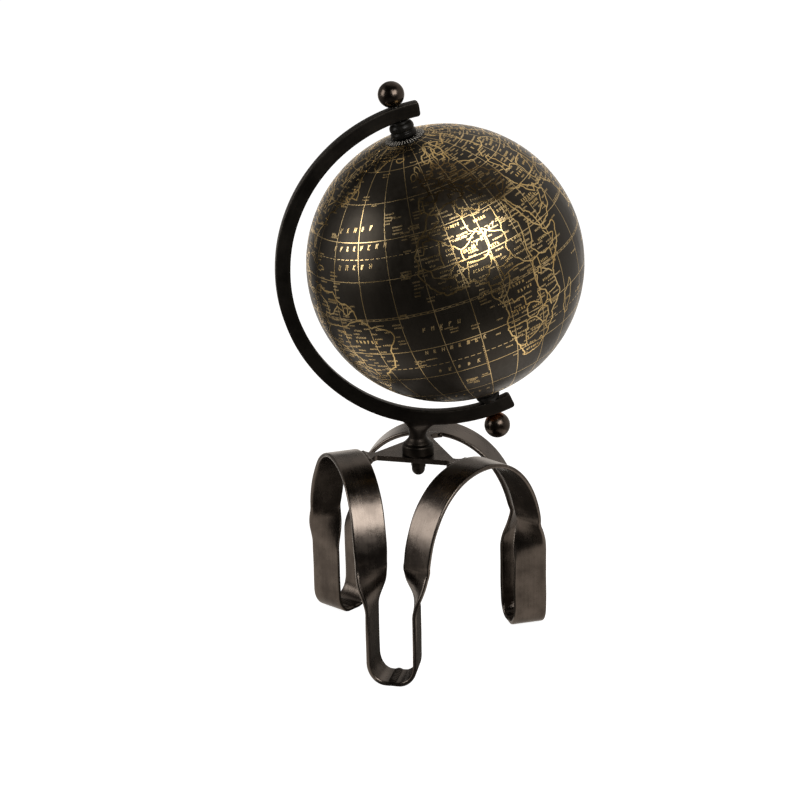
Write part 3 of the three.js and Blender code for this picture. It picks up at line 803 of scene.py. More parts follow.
def hour_dial():
    """Domed black disc that hugs the north pole, with pale printed ticks."""
    dome, under = GLOBE_R + 0.55, GLOBE_R - 1.4

    def height(r):
        return math.sqrt(dome * dome - r * r)

    crown = [(r, height(r)) for r in (POLE_HOLE_R, 7.5, 9.5, 11.5, 13.0, TICK_END)]
    ring = [(POLE_HOLE_R, under)] + crown + [(DIAL_R, height(DIAL_R) - 0.3), (DIAL_R, under)]
    disc = turned_mesh("hour_dial_disc", ring, plastic, TILTED, 96, closed=True, sharp=50)
    show(disc, "globe", "black_plastic", "hour_dial")
    points, faces = [], []
    inner_half, outer_half = 0.10, 0.19
    for i in range(DIAL_TICKS):
        a = 2 * math.pi * i / DIAL_TICKS
        u, v = direction(a), direction(a + math.pi / 2)
        inner = LONG_TICK_FROM if i % 2 == 0 else SHORT_TICK_FROM
        first = len(points)
        for lift in (-0.1, 0.07):
            for r, half in ((inner, -inner_half), (TICK_END, -outer_half),
                            (TICK_END, outer_half), (inner, inner_half)):
                points.append(u * r + v * half + np.array([0, 0, height(r) + lift]))
        faces += [tuple(first + n for n in face) for face in BOX_FACES]
    marks = make_object("hour_dial_ticks", points, faces, tick_grey, TILTED, sharp=20)
    show(marks, "globe", "black_plastic")


shell(1, "north")
shell(-1, "south")
hour_dial()


# ---- Map ---------------------------------------------------------------------
# Outlines are listed latitude and longitude pairs in degrees; lines between them are
# broken up by a seeded midpoint rule, as a small printed map's coasts are.

MAP_TURN = -88.95                      # local angle of the zero meridian, in degrees
# Widths of the printed lines in millimetres
GRID_WIDTH, EQUATOR_WIDTH, DATE_LINE_WIDTH = 0.48, 0.30, 0.8
LONG_COAST_WIDTH, SHORT_COAST_WIDTH, BORDER_WIDTH = 1.0, 0.75, 0.80
COASTS = {
    "africa": """36 -6, 35 -2, 36.8 3, 37.3 10, 34 10.2, 32.7 14, 30.3 19, 32.4 20.5, 32.8 22.5,
        31.2 26, 31.4 31, 31.2 32.5, 30 32.5, 27 34, 24 35.5, 20 37.2, 18 38.5, 15.5 39.8,
        12.8 43.2, 11.5 43, 10.5 45, 11.3 49, 11.9 51.2, 8 49.8, 5 48.5, 2 45.5, -1 42.5, -4 39.8,
        -7 39.4, -10.5 40.5, -15 40.7, -17 39, -20 35, -23.5 35.5, -26 32.8, -29 32, -33 28,
        -34 25, -34.7 20, -34.2 18.4, -32 18.2, -29 16.5, -26 15, -22 14.3, -18 11.8, -15 12.2,
        -12 13.7, -9 13.1, -6 12.3, -4 11, -1 9, 1 9.5, 4 9.6, 4.3 6.2, 6.3 4, 6.2 2, 4.9 -2,
        5.2 -4, 4.4 -7.5, 6.5 -11, 8.5 -13.2, 11 -15, 13.5 -16.7, 14.7 -17.4, 18 -16, 21 -17,
        24 -15.8, 27.7 -13, 30 -9.7, 33.5 -7.7, 36 -6""",
    "madagascar": "-12 49.3, -15.5 50.4, -18 49.4, -22 48, -25 47, -25.3 44.5, -22 43.4, "
                  "-19 44.3, -16 44.5, -15.5 46.5, -13.5 48.5, -12 49.3",
    "eurasia": """36 -5.5, 36.7 -3, 37.6 -0.8, 39.5 -0.3, 41.3 2, 43.2 3.5, 43.2 6, 44.3 8.6,
        43 10.5, 41.2 13, 40 15.5, 38 15.8, 39 17.1, 40.4 17, 39.9 18.4, 41.8 16, 42.5 14,
        44 12.6, 45.5 12.5, 45.5 13.6, 44 15, 42.5 18.5, 40.5 19.4, 38.4 21.2, 36.5 22.5,
        38 24, 39 23, 40.5 23, 40.8 26, 41 29, 39.5 26.2, 38 26.5, 36.8 28, 36.3 30.5, 36.1 33,
        36.8 35, 36.2 36, 34 35.6, 31.5 34.3, 31.2 32.5, 30 32.5, 27.8 34.2, 29.5 35, 28 35,
        24 38, 21 39.2, 17 42.4, 12.8 43.5, 13 45.5, 14 48.5, 16 52, 17 55, 20.5 58.5, 22.5 59.8,
        23.6 58.5, 24.3 56.8, 26.3 56.3, 24.2 54, 26 51, 27 49.8, 29.5 48.2, 30 49.5, 28.5 51,
        26.7 54, 27 56.5, 25.5 58, 25.2 61.5, 25.3 66.5, 22.8 69, 21 70.5, 21.5 72.5, 19 72.8,
        15 74, 11 75.6, 8.1 77.5, 10.3 79.8, 13 80.3, 16 81.5, 19.5 85, 21.5 87.5, 22 90, 21 92,
        16 94.3, 17 97, 13 98.5, 8 98.3, 5 100.3, 1.3 103.8, 4 103.4, 7 101, 9 99.3, 13.3 100.5,
        12 102.5, 10.3 104.8, 8.6 105, 10.5 107.3, 13 109.3, 16 108, 19 105.7, 21.5 108,
        20.3 110, 22 113.5, 24 118, 27 120.5, 30 122, 33 120.8, 36 120, 37.2 122.5, 37.5 119.5,
        39 118, 40.8 121.5, 39 121.5, 40 124, 37.5 126.5, 34.5 126.3, 35.3 129, 38 128.5,
        39.5 127.5, 41.5 130, 43 132, 46 138, 50 140.5, 53 141, 54.5 137, 59.3 147, 59 152,
        62 157, 61 164, 57 156.5, 51 156.8, 54 160, 56.5 163, 60 165, 60 170, 62.5 179,
        64.5 177.5, 66 190, 69 180, 69.5 171, 71 152, 72 140, 71 130, 73.5 118, 77.5 104, 74 87,
        72.5 80, 73 70, 68.5 68, 69 60, 68 50, 66 44, 64.5 40, 66.5 34, 67.5 41, 69 36,
        71 25.8, 68 15, 64 10.5, 62 5, 59 5.5, 58 7.5, 59.2 10.5, 57 12, 55.5 13, 56 16,
        59 17.5, 60.7 17.3, 63.5 20, 65.7 23, 64 24, 62 21.3, 60 22.5, 60 30, 59.4 25, 57 24,
        57.5 21.8, 55 20.5, 54.4 18.5, 54 13, 54.4 10.8, 57.6 10.5, 55.5 8.2, 53.8 8.5, 53.4 6,
        51.5 3.7, 50.8 1.6, 49.5 0.2, 49.6 -1.5, 48.5 -4.6, 47 -2, 44.5 -1.2, 43.4 -2,
        43.5 -8, 42 -8.8, 38.7 -9.4, 37 -8.9, 37 -7, 36 -5.5""",
    "black_sea": "41.2 29, 41.7 33, 42 35, 41 38, 41.6 41.5, 43.5 40, 45 37, 47 38, 45.2 36, "
                 "44.5 33.8, 46 32, 46.5 31, 45 29.6, 43 28, 41.2 29",
    "caspian": "47 50, 46.7 52, 45 51.3, 42.5 52.7, 41 53, 38 53.8, 36.8 53.5, 37.5 49.5, "
               "40.4 50.3, 42.5 48, 44.5 47, 46.5 49, 47 50",
    "britain": "50 -5.5, 50.7 -1.5, 51.2 1.3, 52.8 1.6, 53.5 0, 55.5 -1.6, 57.5 -2, 58.6 -3.2, "
               "58.5 -5, 56.5 -6, 54.8 -4, 53.3 -4.4, 51.8 -5, 51.4 -3, 50 -5.5",
    "ireland": "51.6 -10, 52.2 -6.5, 54 -6, 55.2 -6.5, 55.2 -8, 54.2 -10, 51.6 -10",
    "iceland": "63.5 -19, 64.2 -15, 65.5 -14, 66.4 -16, 66 -20, 66.4 -23, 65.2 -24, 64 -22.6, "
               "63.5 -19",
    "greenland": "59.9 -44, 61 -48, 64 -51.8, 67 -53.8, 70 -54.5, 72.5 -56, 76 -60, 76.5 -69, "
                 "78.5 -72, 81 -63, 82.8 -45, 83.5 -33, 82 -20, 80 -17, 76 -20, 72 -23, "
                 "70 -22.5, 68 -28, 65.8 -37, 62 -42.5, 59.9 -44",
    "north_america": """65.6 -168, 64.5 -161.5, 61 -165.5, 58.7 -157, 55 -163, 58 -154, 61 -150,
        60 -146, 59.5 -140, 58 -136, 55 -131, 52 -128, 49 -123, 48.3 -124.7, 46 -124,
        43 -124.4, 40.3 -124.3, 37.8 -122.5, 34.5 -120.5, 32.6 -117.2, 28 -115, 25 -112,
        23 -109.8, 25 -111, 28 -112, 31.5 -114.7, 29 -112, 26 -109.3, 22.5 -106, 20.4 -105.6,
        18 -103, 16 -98, 16 -94.5, 14 -91.5, 13 -88, 10 -85.7, 8.3 -83, 7.3 -80.5, 8.9 -79.5,
        7.5 -78, 8.5 -77, 9.4 -79.8, 9 -82, 11 -83.7, 15 -83.3, 15.9 -87, 16 -88.6, 18.5 -88,
        21.5 -87, 21 -90, 18.6 -92, 19 -96, 22.3 -97.8, 26 -97.2, 28.5 -96, 29.5 -94, 29.2 -90,
        30.3 -88, 29.8 -84.5, 28 -82.7, 25.2 -81, 26.8 -80, 30.5 -81.4, 33 -79.5, 35.2 -75.6,
        37 -76, 40.5 -74, 41.6 -70.2, 43.5 -70, 45 -67, 43.6 -65.5, 46 -60, 47 -64.5, 49 -65,
        50 -60, 52 -55.8, 55 -59, 58.5 -62.5, 60.4 -64.6, 58.8 -68, 61 -70, 62.4 -74,
        60.5 -78, 56 -76.5, 54 -79, 51.3 -80, 55 -83, 57 -90, 59 -94.5, 63 -91, 66 -86,
        68 -82, 69.5 -85, 67.5 -88, 68.5 -95, 68 -105, 67.8 -115, 69.8 -122, 69.5 -133,
        70.2 -145, 71.3 -156.5, 68.9 -166, 66 -162, 65.6 -168""",
    "south_america": """8.5 -77, 11 -75, 12.3 -71.7, 11 -70, 10.5 -66, 10.7 -62, 8.5 -60.5,
        6.5 -57.5, 5.5 -53, 4 -51.2, 0 -50, -1 -47, -2.7 -42, -5 -35.5, -8 -34.8, -11 -37.2,
        -13 -38.5, -18 -39.5, -22 -41, -23 -43.5, -25.5 -48.5, -28.5 -48.7, -32 -52.2,
        -34.8 -55, -34.5 -58.4, -36.5 -56.8, -38.8 -60, -41 -63, -42.5 -64.5, -45.5 -67,
        -48 -66, -50.5 -69, -52.5 -68.5, -55 -66.5, -54 -71, -51 -74.5, -46.5 -75, -42 -74,
        -37 -73.5, -30 -71.5, -23.5 -70.5, -18.4 -70.4, -16 -73.5, -13.5 -76.3, -8 -79,
        -5 -81.2, -2.5 -80.5, 0.5 -80, 4 -77.3, 7.5 -78, 8.5 -77""",
    "cuba": "22 -84.5, 23.1 -81.5, 22 -78, 20.2 -74.3, 19.9 -77.5, 21.7 -80, 22 -84.5",
    "hispaniola": "19.9 -73, 19.7 -70, 18.5 -68.4, 17.7 -71.4, 18.3 -74.3, 19.9 -73",
    "newfoundland": "47.6 -59, 51.5 -55.7, 49 -53.6, 46.8 -53, 47.6 -59",
    "baffin": "62.5 -66, 66.8 -62, 70 -68, 73.5 -80, 72 -89, 70 -80, 66 -73, 63.8 -72, 62.5 -66",
    "victoria_island": "69 -106, 72.5 -106, 73 -115, 71 -117, 69 -113, 69 -106",
    "ellesmere": "76.5 -80, 78 -76, 81 -64, 83 -70, 81.5 -90, 78 -88, 76.5 -80",
    "svalbard": "76.7 16.5, 78.3 21, 80 22, 79.7 11, 76.7 16.5",
    "novaya_zemlya": "70.7 57.5, 73 57, 76.9 68, 76 62, 73 54, 70.7 57.5",
    "australia": """-11 142.5, -16.5 145.5, -20 148.5, -25 153, -28.5 153.6, -33 151.8, -37.5 150,
        -38.8 146.3, -38.4 141.5, -35.5 138.8, -35 136, -32 133, -32 128, -34 123.5, -35 118,
        -34 115.1, -29 114.8, -26 113.3, -22 113.9, -20 119, -17 122.2, -14.5 126, -15 129.5,
        -12.3 131, -12 136.5, -15 136, -17.5 140.5, -14 141.6, -11 142.5""",
    "tasmania": "-40.8 145, -41 148.2, -43.5 147, -42.5 145.3, -40.8 145",
    "new_zealand_north": "-34.5 172.8, -37.5 176, -37.7 178.5, -41.3 175.3, -39.3 173.8, "
                         "-37 174.6, -34.5 172.8",
    "new_zealand_south": "-40.6 172.8, -42 174, -44 172.8, -46.5 169, -46 166.6, -43 170.5, "
                         "-40.6 172.8",
    "new_guinea": "-0.8 131.5, -3.5 136, -1.5 138, -2.6 141, -4 145, -6.5 147.8, -10.3 150.5, "
                  "-8 144, -9 141, -8.3 138, -5 138, -4 133, -0.8 131.5",
    "borneo": "1.5 109, 4.5 114, 7 117, 5 119, 1 118, -3.5 116, -3 111.5, -1 110, 1.5 109",
    "sumatra": "5.6 95.3, 3 99, -1 103.8, -5.8 105.8, -4 102.3, 0 99, 5.6 95.3",
    "java": "-6 106, -6.5 110.8, -7.5 114.4, -8.5 114, -7.8 108, -6.8 105.5, -6 106",
    "sulawesi": "1.5 125, 0.5 121, -1 121, -5.5 120.3, -3 119, 0.8 120, 1.5 125",
    "luzon": "18.5 121, 16 122, 13 124, 14 120.6, 16.3 120, 18.5 121",
    "mindanao": "9.5 125.5, 7 126.5, 5.8 125.5, 7 122, 8.5 123.3, 9.5 125.5",
    "honshu": "34 131, 35.5 133, 37.2 137, 39 140, 41.3 141, 38.3 141.5, 35.2 140.7, 34.6 137, "
              "33.6 135.8, 34.3 132.5, 34 131",
    "hokkaido": "41.5 140.2, 43.3 141, 45.4 141.8, 43.3 145.5, 42 143.2, 41.5 140.2",
    "kyushu": "33.8 131, 31.3 131, 31.3 130.4, 33.2 129.8, 33.8 131",
    "sakhalin": "46 142, 50 143, 54.3 142.6, 52 143.3, 46 143.4, 46 142",
    "taiwan": "25.2 121.5, 22 120.8, 24 120.2, 25.2 121.5",
    "ceylon": "9.7 80, 8 81.3, 6 80.6, 8 79.8, 9.7 80",
    "sicily": "38 12.5, 38.2 15.5, 36.7 15, 38 12.5",
    "sardinia": "41 9.3, 39.1 9.5, 39 8.5, 41 8.3, 41 9.3",
    "crete": "35.5 23.6, 35.2 26.2, 34.9 24.5, 35.5 23.6",
    "cyprus": "35.2 32.5, 35.6 34.5, 34.7 33, 35.2 32.5",
    "lake_victoria": "0.3 32.5, 0 34, -2.5 33, -2 31.7, 0.3 32.5",
    "antarctica": """-78 -165, -75 -140, -73 -120, -72 -100, -73 -80, -70 -68, -63.5 -57, -68 -61,
        -75 -60, -78 -45, -75 -25, -70.5 -8, -69.5 10, -68.5 35, -66.5 50, -67.5 60, -69.5 73,
        -66.5 85, -66 100, -66.5 120, -66.5 140, -69 160, -72 170, -78 167, -78.5 185,
        -78 195""",
}
BORDERS = """35 -2, 32 -1.5, 30 -5, 28.7 -8.7, 27.7 -8.7, 27.7 -13
    27.7 -8.7, 26 -8.7, 26 -12, 23.5 -12, 21.3 -13, 21.3 -17
    27.3 -8.7, 25 -5, 21 1.2, 19 3.3, 19.5 5.8, 23.5 12, 24.5 10, 26.5 9.5, 30.2 9.4, 33 7.6, 37 8.7
    30.2 9.5, 32 10.8, 33.1 11.5
    25 -5, 20 -6, 15.4 -5.5, 15.4 -9, 14.8 -12, 16.5 -14.5, 16 -16.4
    14.8 -12, 12.3 -11.4, 11 -8, 10.2 -6, 12 -4, 14 -2, 15 0, 15 3.5, 19 3.3
    10.2 -6, 9.8 -3, 11 -3, 11 0, 12 2, 15 0
    5 -3, 8 -2.6, 11 -2.8
    6.1 1.2, 11 0
    6.4 2.7, 9 2.7, 12 3.6, 12 2
    12 3.6, 13.8 4, 13 8, 13 11, 13.7 13.3, 16.5 15.5, 21 15.5, 23 15, 23.4 15.9, 19.5 24
    23.5 12, 22.6 14.2, 23.4 15.9
    31.5 25, 22 25, 20 24, 15.7 24, 13 22, 10.9 22.9, 8 20, 7.6 15.5, 10 15.5, 13 14.2
    22 25, 22 37
    10.9 22.9, 8 24, 5 27.4, 5 23, 4.2 18.6, 3.6 16.5, 7.6 15.5
    4.7 8.5, 7 11, 10 13.3, 13 14.2, 13.7 13.3
    2.2 9.8, 2.2 16.2, 3.6 16.5
    -3.9 11.2, -2 14, 1 14, 2.2 13.3
    -6 12.3, -4.8 13, -2 16.2, 1 18, 4.2 18.6
    -5.9 12.5, -5.9 16.5, -8 17, -7 20, -7.3 22, -11 22, -11 24, -12.5 28, -13.3 29, \
        -12 29.8, -8.3 28.8, -8.5 31
    18 38.5, 14.3 36.5, 12.5 36, 8 33, 5 35.3, 4.5 36, 3.5 39, 4 42, 4.9 45, 8 48, 9 44, 11 42.8
    4 42, -1.6 41.5
    -1 34, -3 37.6, -4.7 39.2
    5 27.4, 3.5 31, 4.2 34, 4.5 36
    3.5 31, 1 30, -1.2 29.6, -3.5 29.3, -6 29.6, -8.5 31
    3.8 34, 0.5 34
    -1 31.5, -1.2 29.6, -2.5 30.8, -4.4 30
    -11.6 34.6, -11.6 36, -10.5 40.4
    -8.5 31, -9.5 33, -12 34.4, -14.3 35, -17 35.2, -14.5 34.4, -14 33, -9.5 33
    -14 33, -15.6 30.2, -16.5 32.9, -19 33, -22.4 31.3
    -15.6 30.2, -18 26, -17.8 25.2, -17.6 23.4, -18 21, -17.4 18.5, -17.3 11.8
    -17.6 23.4, -16 22, -13 22, -11 24
    -18.2 21, -22 21, -22 20, -28.5 20, -28.6 16.5
    -24.8 20, -26.8 21, -25.5 25, -22.2 29.3, -20 27.5, -17.8 25.2
    -22.2 29.3, -22.4 31.3, -26.8 32.1
    -28.6 28.5, -30 27, -30 29.3, -28.6 28.5
    31.3 31, 26 32, 22 31.5, 19 33, 15.6 32.5, 10 31, 5 31.6
    31 34.5, 29.5 34.9
    4 -51.5, 2.2 -54.5, 1.8 -56, 5.2 -60.5, 2 -64, 1 -67, 2 -70, -4.2 -70, -7.3 -74, \
        -10 -72.5, -11 -69.5, -12.5 -65, -16 -60, -18 -57.8, -22 -58, -24 -54.5, -27 -54, \
        -30.2 -57.6, -33.7 -53.4
    6 -57, 2 -57
    5.5 -54, 2.3 -54.5
    -22 -67, -27 -68.5, -33 -70, -40 -71.8, -47 -72, -52 -70, -54.8 -68.6
    -11 -69.5, -17.5 -69.5, -22 -68, -22 -62.5, -20 -62, -20 -58
    -22 -62.5, -25.3 -57.7, -27.3 -56
    -3.4 -80.3, -5 -79, -1 -75.5, 0.5 -77.5, 1.4 -78.8
    0 -75.3, -4.2 -70
    11.8 -71.4, 8 -72.4, 6.2 -68, 1.2 -67
    0 -50, -2.5 -57, -3.3 -65, -4 -72
    49 -123, 49 -95, 48 -89, 46 -84.5, 42 -82.5, 43.5 -79, 45 -75, 45.2 -71, 47.4 -69, 45 -67
    46.7 -92, 48.6 -88, 46.7 -84.7, 46.5 -88, 46.7 -92
    41.7 -87.2, 45.8 -85, 43 -82.4, 45.5 -84, 43 -86.6, 41.7 -87.2
    69.6 -141, 60.3 -141, 58.5 -136, 56 -130
    32.6 -117, 31.3 -111, 31.7 -106.5, 29 -103, 29.8 -101.5, 26 -97.3
    14.5 -92.2, 17.8 -91, 17.8 -89.2
    14 -88, 15 -83.5
    60 -139, 60 -95
    49 -110, 60 -110
    49 -102, 60 -102
    49 -120, 54 -120, 60 -120
    29.5 -90, 35 -90, 42 -91, 47 -94
    49 -111, 42 -111, 37 -109, 31.3 -109
    37 -114, 37 -94
    42 -124, 42 -111
    41 -104, 49 -104
    37 -102, 41 -102
    35 -114.5, 42 -114
    35 -94, 35 -76
    37 -94, 40.6 -94
    37.7 -122, 39 -120, 35 -114.6
    42 -8.8, 41.8 -6.5, 37.2 -7.4
    43.3 -1.8, 42.5 3
    43.8 7.5, 46 7, 47.5 7.5, 49 8, 49.5 6, 51 2.5
    51 6, 53.3 7
    54.8 8.6, 54.8 9.8
    54 14.3, 51 15, 50.3 12.3, 48.7 13.8, 47.5 13, 47.5 9.5, 47.5 7.5
    46 7, 46.2 9, 46.8 12, 46.5 13.7, 45.6 13.8
    54.4 19.8, 54 23, 50.5 24, 49 22.5, 49.5 18, 50.7 15
    48.7 17, 46.5 16.3, 46 20, 48 22.8, 48.7 17
    48 22.8, 48.2 26.5, 45.3 28.2
    46 20, 44.5 22, 43.8 25, 43.8 28.5
    42 19.5, 42.5 22, 41.3 23, 41.7 26, 40.8 26
    45.5 13.8, 45.3 18, 46 20
    60.3 28, 62.8 31, 67 29.5, 69.5 29
    59 11.3, 62 12.3, 65 14, 68.5 18, 69 20.5, 67 23.7, 65.8 24.1
    54 23, 56 27, 58 27.5, 59.4 28
    52 24, 52 31, 49 40, 47 38
    36 36, 37 42, 37.2 44.5, 39.5 44.5, 41.5 43, 41.5 41.5
    37.2 44.5, 33 46, 30.5 48
    37 42, 34.5 41, 33.3 38.8, 32.5 36
    29.3 35, 31.5 37, 32.2 39.2, 29.1 46.5, 30 48
    16.3 42.8, 17 47, 19 52, 22.7 55.2, 24 56
    19 52, 16.6 53
    22.7 55.2, 22.7 52, 24.3 51.5
    37.3 54, 38 57, 35.6 61.2, 31.3 61, 29.8 60.9, 27 63, 25.2 61.6
    35.6 61.2, 37.3 66, 37 71, 37.2 74.8, 35.5 72, 32 69.5, 29.5 66, 29.8 60.9
    23.8 68.3, 27.8 70, 30 73.5, 34.5 74, 37 75
    36 78, 32 78.8, 30.3 81, 27.5 88, 28 92, 28.3 97, 23.9 94, 21 92.3
    28.3 97, 22 101, 22.5 105, 21.5 108
    20.3 100, 17 98, 10 98.8
    20 100.5, 18 103, 14.3 105
    22 102, 18 106, 14.5 107.5, 11 106
    26 89, 25 92, 23 91.5
    39.5 44.5, 38.5 48.8
    37.2 74.8, 40 74, 42 80, 45 82.5, 49 87, 50.5 98, 49.5 107, 49.8 116, 53.4 122, \
        48.5 130, 48.5 134.8, 43 131
    49 87.5, 45 91, 42.5 97, 41.7 105, 45 112, 47 118, 49.8 116
    45 82.5, 50 80, 54 70, 51 60, 51 52, 48 48
    42 130.5, 40 124.4
    38 126, 38.3 128.4
    36 78, 36 90, 34 97, 28 97
    70 66, 60 60, 52 60
    73 85, 62 90, 51 95
    72 128, 62 125, 54 122
    30 122, 30.5 112, 29 105, 33 97
    37.7 119, 40 109, 36 103
    24 89, 26 82, 29 78
    -14.9 129, -31.6 129
    -16.5 138, -26 138, -26 141, -29 141, -38 141
    -29 141, -28.5 153
    -26 129, -26 138
    -34 141, -36 148, -37.5 150
    -2.6 141, -9.2 141"""


def parse(text):
    """'lat lon, lat lon, ...' as a list of pairs."""
    return [tuple(float(n) for n in pair.split()) for pair in text.split(",") if pair.strip()]


def printed_latitude(lat):
    """The print is stretched a little towards the poles and sits a little north."""
    return lat + (2.8 + 0.061 * lat) * (1 - (lat / 90) ** 6)


def on_globe(lat, lon):
    """Unit vector in the tilted frame for a map position."""
    a, b = math.radians(printed_latitude(lat)), math.radians(lon + MAP_TURN)
    return np.array([math.cos(a) * math.cos(b), math.cos(a) * math.sin(b), math.sin(a)])


def roughen(path, amount, rng, finest):
    """Breaks each long stretch at its middle, a little to one side, down to finest degrees."""
    done = [path[0]]

    def split(a, b):
        narrow = math.cos(math.radians((a[0] + b[0]) / 2))
        length = math.hypot(a[0] - b[0], (a[1] - b[1]) * narrow)
        if length < finest:
            done.append(b)
            return
        shift = rng.gauss(0, amount) * length
        middle = ((a[0] + b[0]) / 2 + shift * (b[1] - a[1]) * narrow / length,
                  (a[1] + b[1]) / 2 - shift * (b[0] - a[0]) / length / max(narrow, 0.15))
        split(a, middle)
        split(middle, b)

    for a, b in zip(path, path[1:]):
        split(a, b)
    return done


class Ink:
    """Closed raised strips on the globe, collected into one mesh."""

    def __init__(self, height):
        self.low, self.high = GLOBE_R - 0.03, GLOBE_R + height
        self.points, self.faces = [], []

    def strip(self, units, width):
        """A line through unit vectors, width in millimetres."""
        u = np.asarray(units, float)
        if len(u) < 2:
            return
        ahead = np.gradient(u, axis=0)
        side = np.cross(ahead, u)
        side /= np.maximum(np.linalg.norm(side, axis=1), 1e-9)[:, None]
        offset = side * (width / 2 / GLOBE_R)
        left, right = u - offset, u + offset
        left /= np.linalg.norm(left, axis=1)[:, None]
        right /= np.linalg.norm(right, axis=1)[:, None]
        rings = np.stack([left * self.high, right * self.high, right * self.low, left * self.low], 1)
        first, count = len(self.points), len(u)
        self.points.extend(rings.reshape(-1, 3))
        for i in range(count - 1):
            for j in range(4):
                a, b = first + 4 * i + j, first + 4 * i + (j + 1) % 4
                self.faces.append((a, b, b + 4, a + 4))
        last = first + 4 * (count - 1)
        self.faces.append((first + 3, first + 2, first + 1, first))
        self.faces.append((last, last + 1, last + 2, last + 3))

    def path(self, pairs, width):
        self.strip([on_globe(lat, lon) for lat, lon in pairs], width)

    def parallel(self, lat, width, start=0.0, end=360.0, step=2.0):
        count = max(2, int(abs(end - start) / step) + 1)
        self.path([(lat, start + (end - start) * i / (count - 1)) for i in range(count)], width)

    def meridian(self, lon, width, low=-80.0, high=80.0, step=2.0):
        count = max(2, int(abs(high - low) / step) + 1)
        self.path([(low + (high - low) * i / (count - 1), lon) for i in range(count)], width)

    def finish(self, name, material):
        piece = make_object(name, np.array(self.points), self.faces, material, TILTED, sharp=25)
        return show(piece, "globe", "globe_shell")


def graticule():
    """Meridians and parallels, dashed circles and tropics, a double equator and a date line."""
    ink = Ink(height=0.035)
    for lon in range(0, 360, 15):
        ink.meridian(lon, GRID_WIDTH)
    for lat in (-75, -60, -45, -30, -15, 15, 30, 45, 60, 75):
        ink.parallel(lat, GRID_WIDTH)
    for lat in (-66.5, -23.5, 23.5, 66.5):
        dash = 1.7 / math.cos(math.radians(lat))
        pitch = 1.55 * dash
        for i in range(int(360 / pitch)):
            ink.parallel(lat, GRID_WIDTH, i * pitch, i * pitch + dash, step=1.0)
    for lat in (-0.36, 0.36):
        ink.parallel(lat, EQUATOR_WIDTH)
    for lon in range(0, 360, 3):
        ink.parallel(0.0, 0.5, lon, lon + 1.0, step=0.5)
    for lat in range(-78, 78, 3):
        ink.meridian(180, DATE_LINE_WIDTH, lat, lat + 1.0, step=0.5)
    ink.finish("map_graticule", gold_fine)


def outlines():
    """Coastlines and borders, each roughened between its listed points."""
    rng = random.Random(11)
    coast, border = Ink(height=0.06), Ink(height=0.05)
    for text in COASTS.values():
        path = roughen(parse(text), 0.10, rng, finest=1.0)
        coast.path(path, LONG_COAST_WIDTH if len(path) > 60 else SHORT_COAST_WIDTH)
    for line in BORDERS.splitlines():
        border.path(roughen(parse(line), 0.06, rng, finest=1.3), BORDER_WIDTH)
    coast.finish("map_coastlines", gold_bold)
    border.finish("map_borders", gold_bold)


STROKES = [((0, 0), (0, 1)), ((0.62, 0), (0.62, 1)), ((0, 0), (0.62, 1)), ((0, 1), (0.62, 0)),
           ((0, 0.5), (0.62, 0.5)), ((0, 1), (0.62, 1)), ((0, 0), (0.62, 0)),
           ((0.31, 0), (0.31, 1)), ((0, 0.5), (0.62, 1)), ((0, 0.5), (0.62, 0))]


def mark_row(ink, lat, lon, count, size, rng, gap=1.0, rise=0.0, slant=0.12):
    """A row of letter-like marks that spell nothing. size is their height in millimetres,
    rise tilts the row in degrees of latitude per degree of longitude, and slant leans them."""
    degree = math.pi * GLOBE_R / 180
    for i in range(count):
        narrow = max(math.cos(math.radians(lat)), 0.2)
        step = size * gap / degree / narrow
        here_lon, here_lat = lon + i * step, lat + i * step * rise
        for a, b in [STROKES[0]] + rng.sample(STROKES[1:], 2):
            ends = [(here_lat + y * size / degree,
                     here_lon + (x + slant * y) * size * 0.85 / degree / narrow) for x, y in (a, b)]
            ink.path(ends, 0.17 + 0.12 * size)


def dot(ink, lat, lon, size):
    """A small filled mark for an island or a town."""
    half = size / 2 / (math.pi * GLOBE_R / 180)
    ink.path([(lat - half, lon), (lat + half, lon)], size)


def inside(polygon, lat, lon):
    """Whether the place lies in the closed outline, by counting crossings."""
    hit = False
    for (a_lat, a_lon), (b_lat, b_lon) in zip(polygon, polygon[1:]):
        if (a_lat > lat) != (b_lat > lat):
            if lon < a_lon + (lat - a_lat) / (b_lat - a_lat) * (b_lon - a_lon):
                hit = not hit
    return hit


SMALL_SIZES, TOWN_SIZE, ISLAND_SIZE = (0.9, 1.05, 1.25), 0.8, 1.1     # heights in mm
CLEAR_WIDE, CLEAR_TALL = 4.6, 1.2       # free space round a name, in degrees
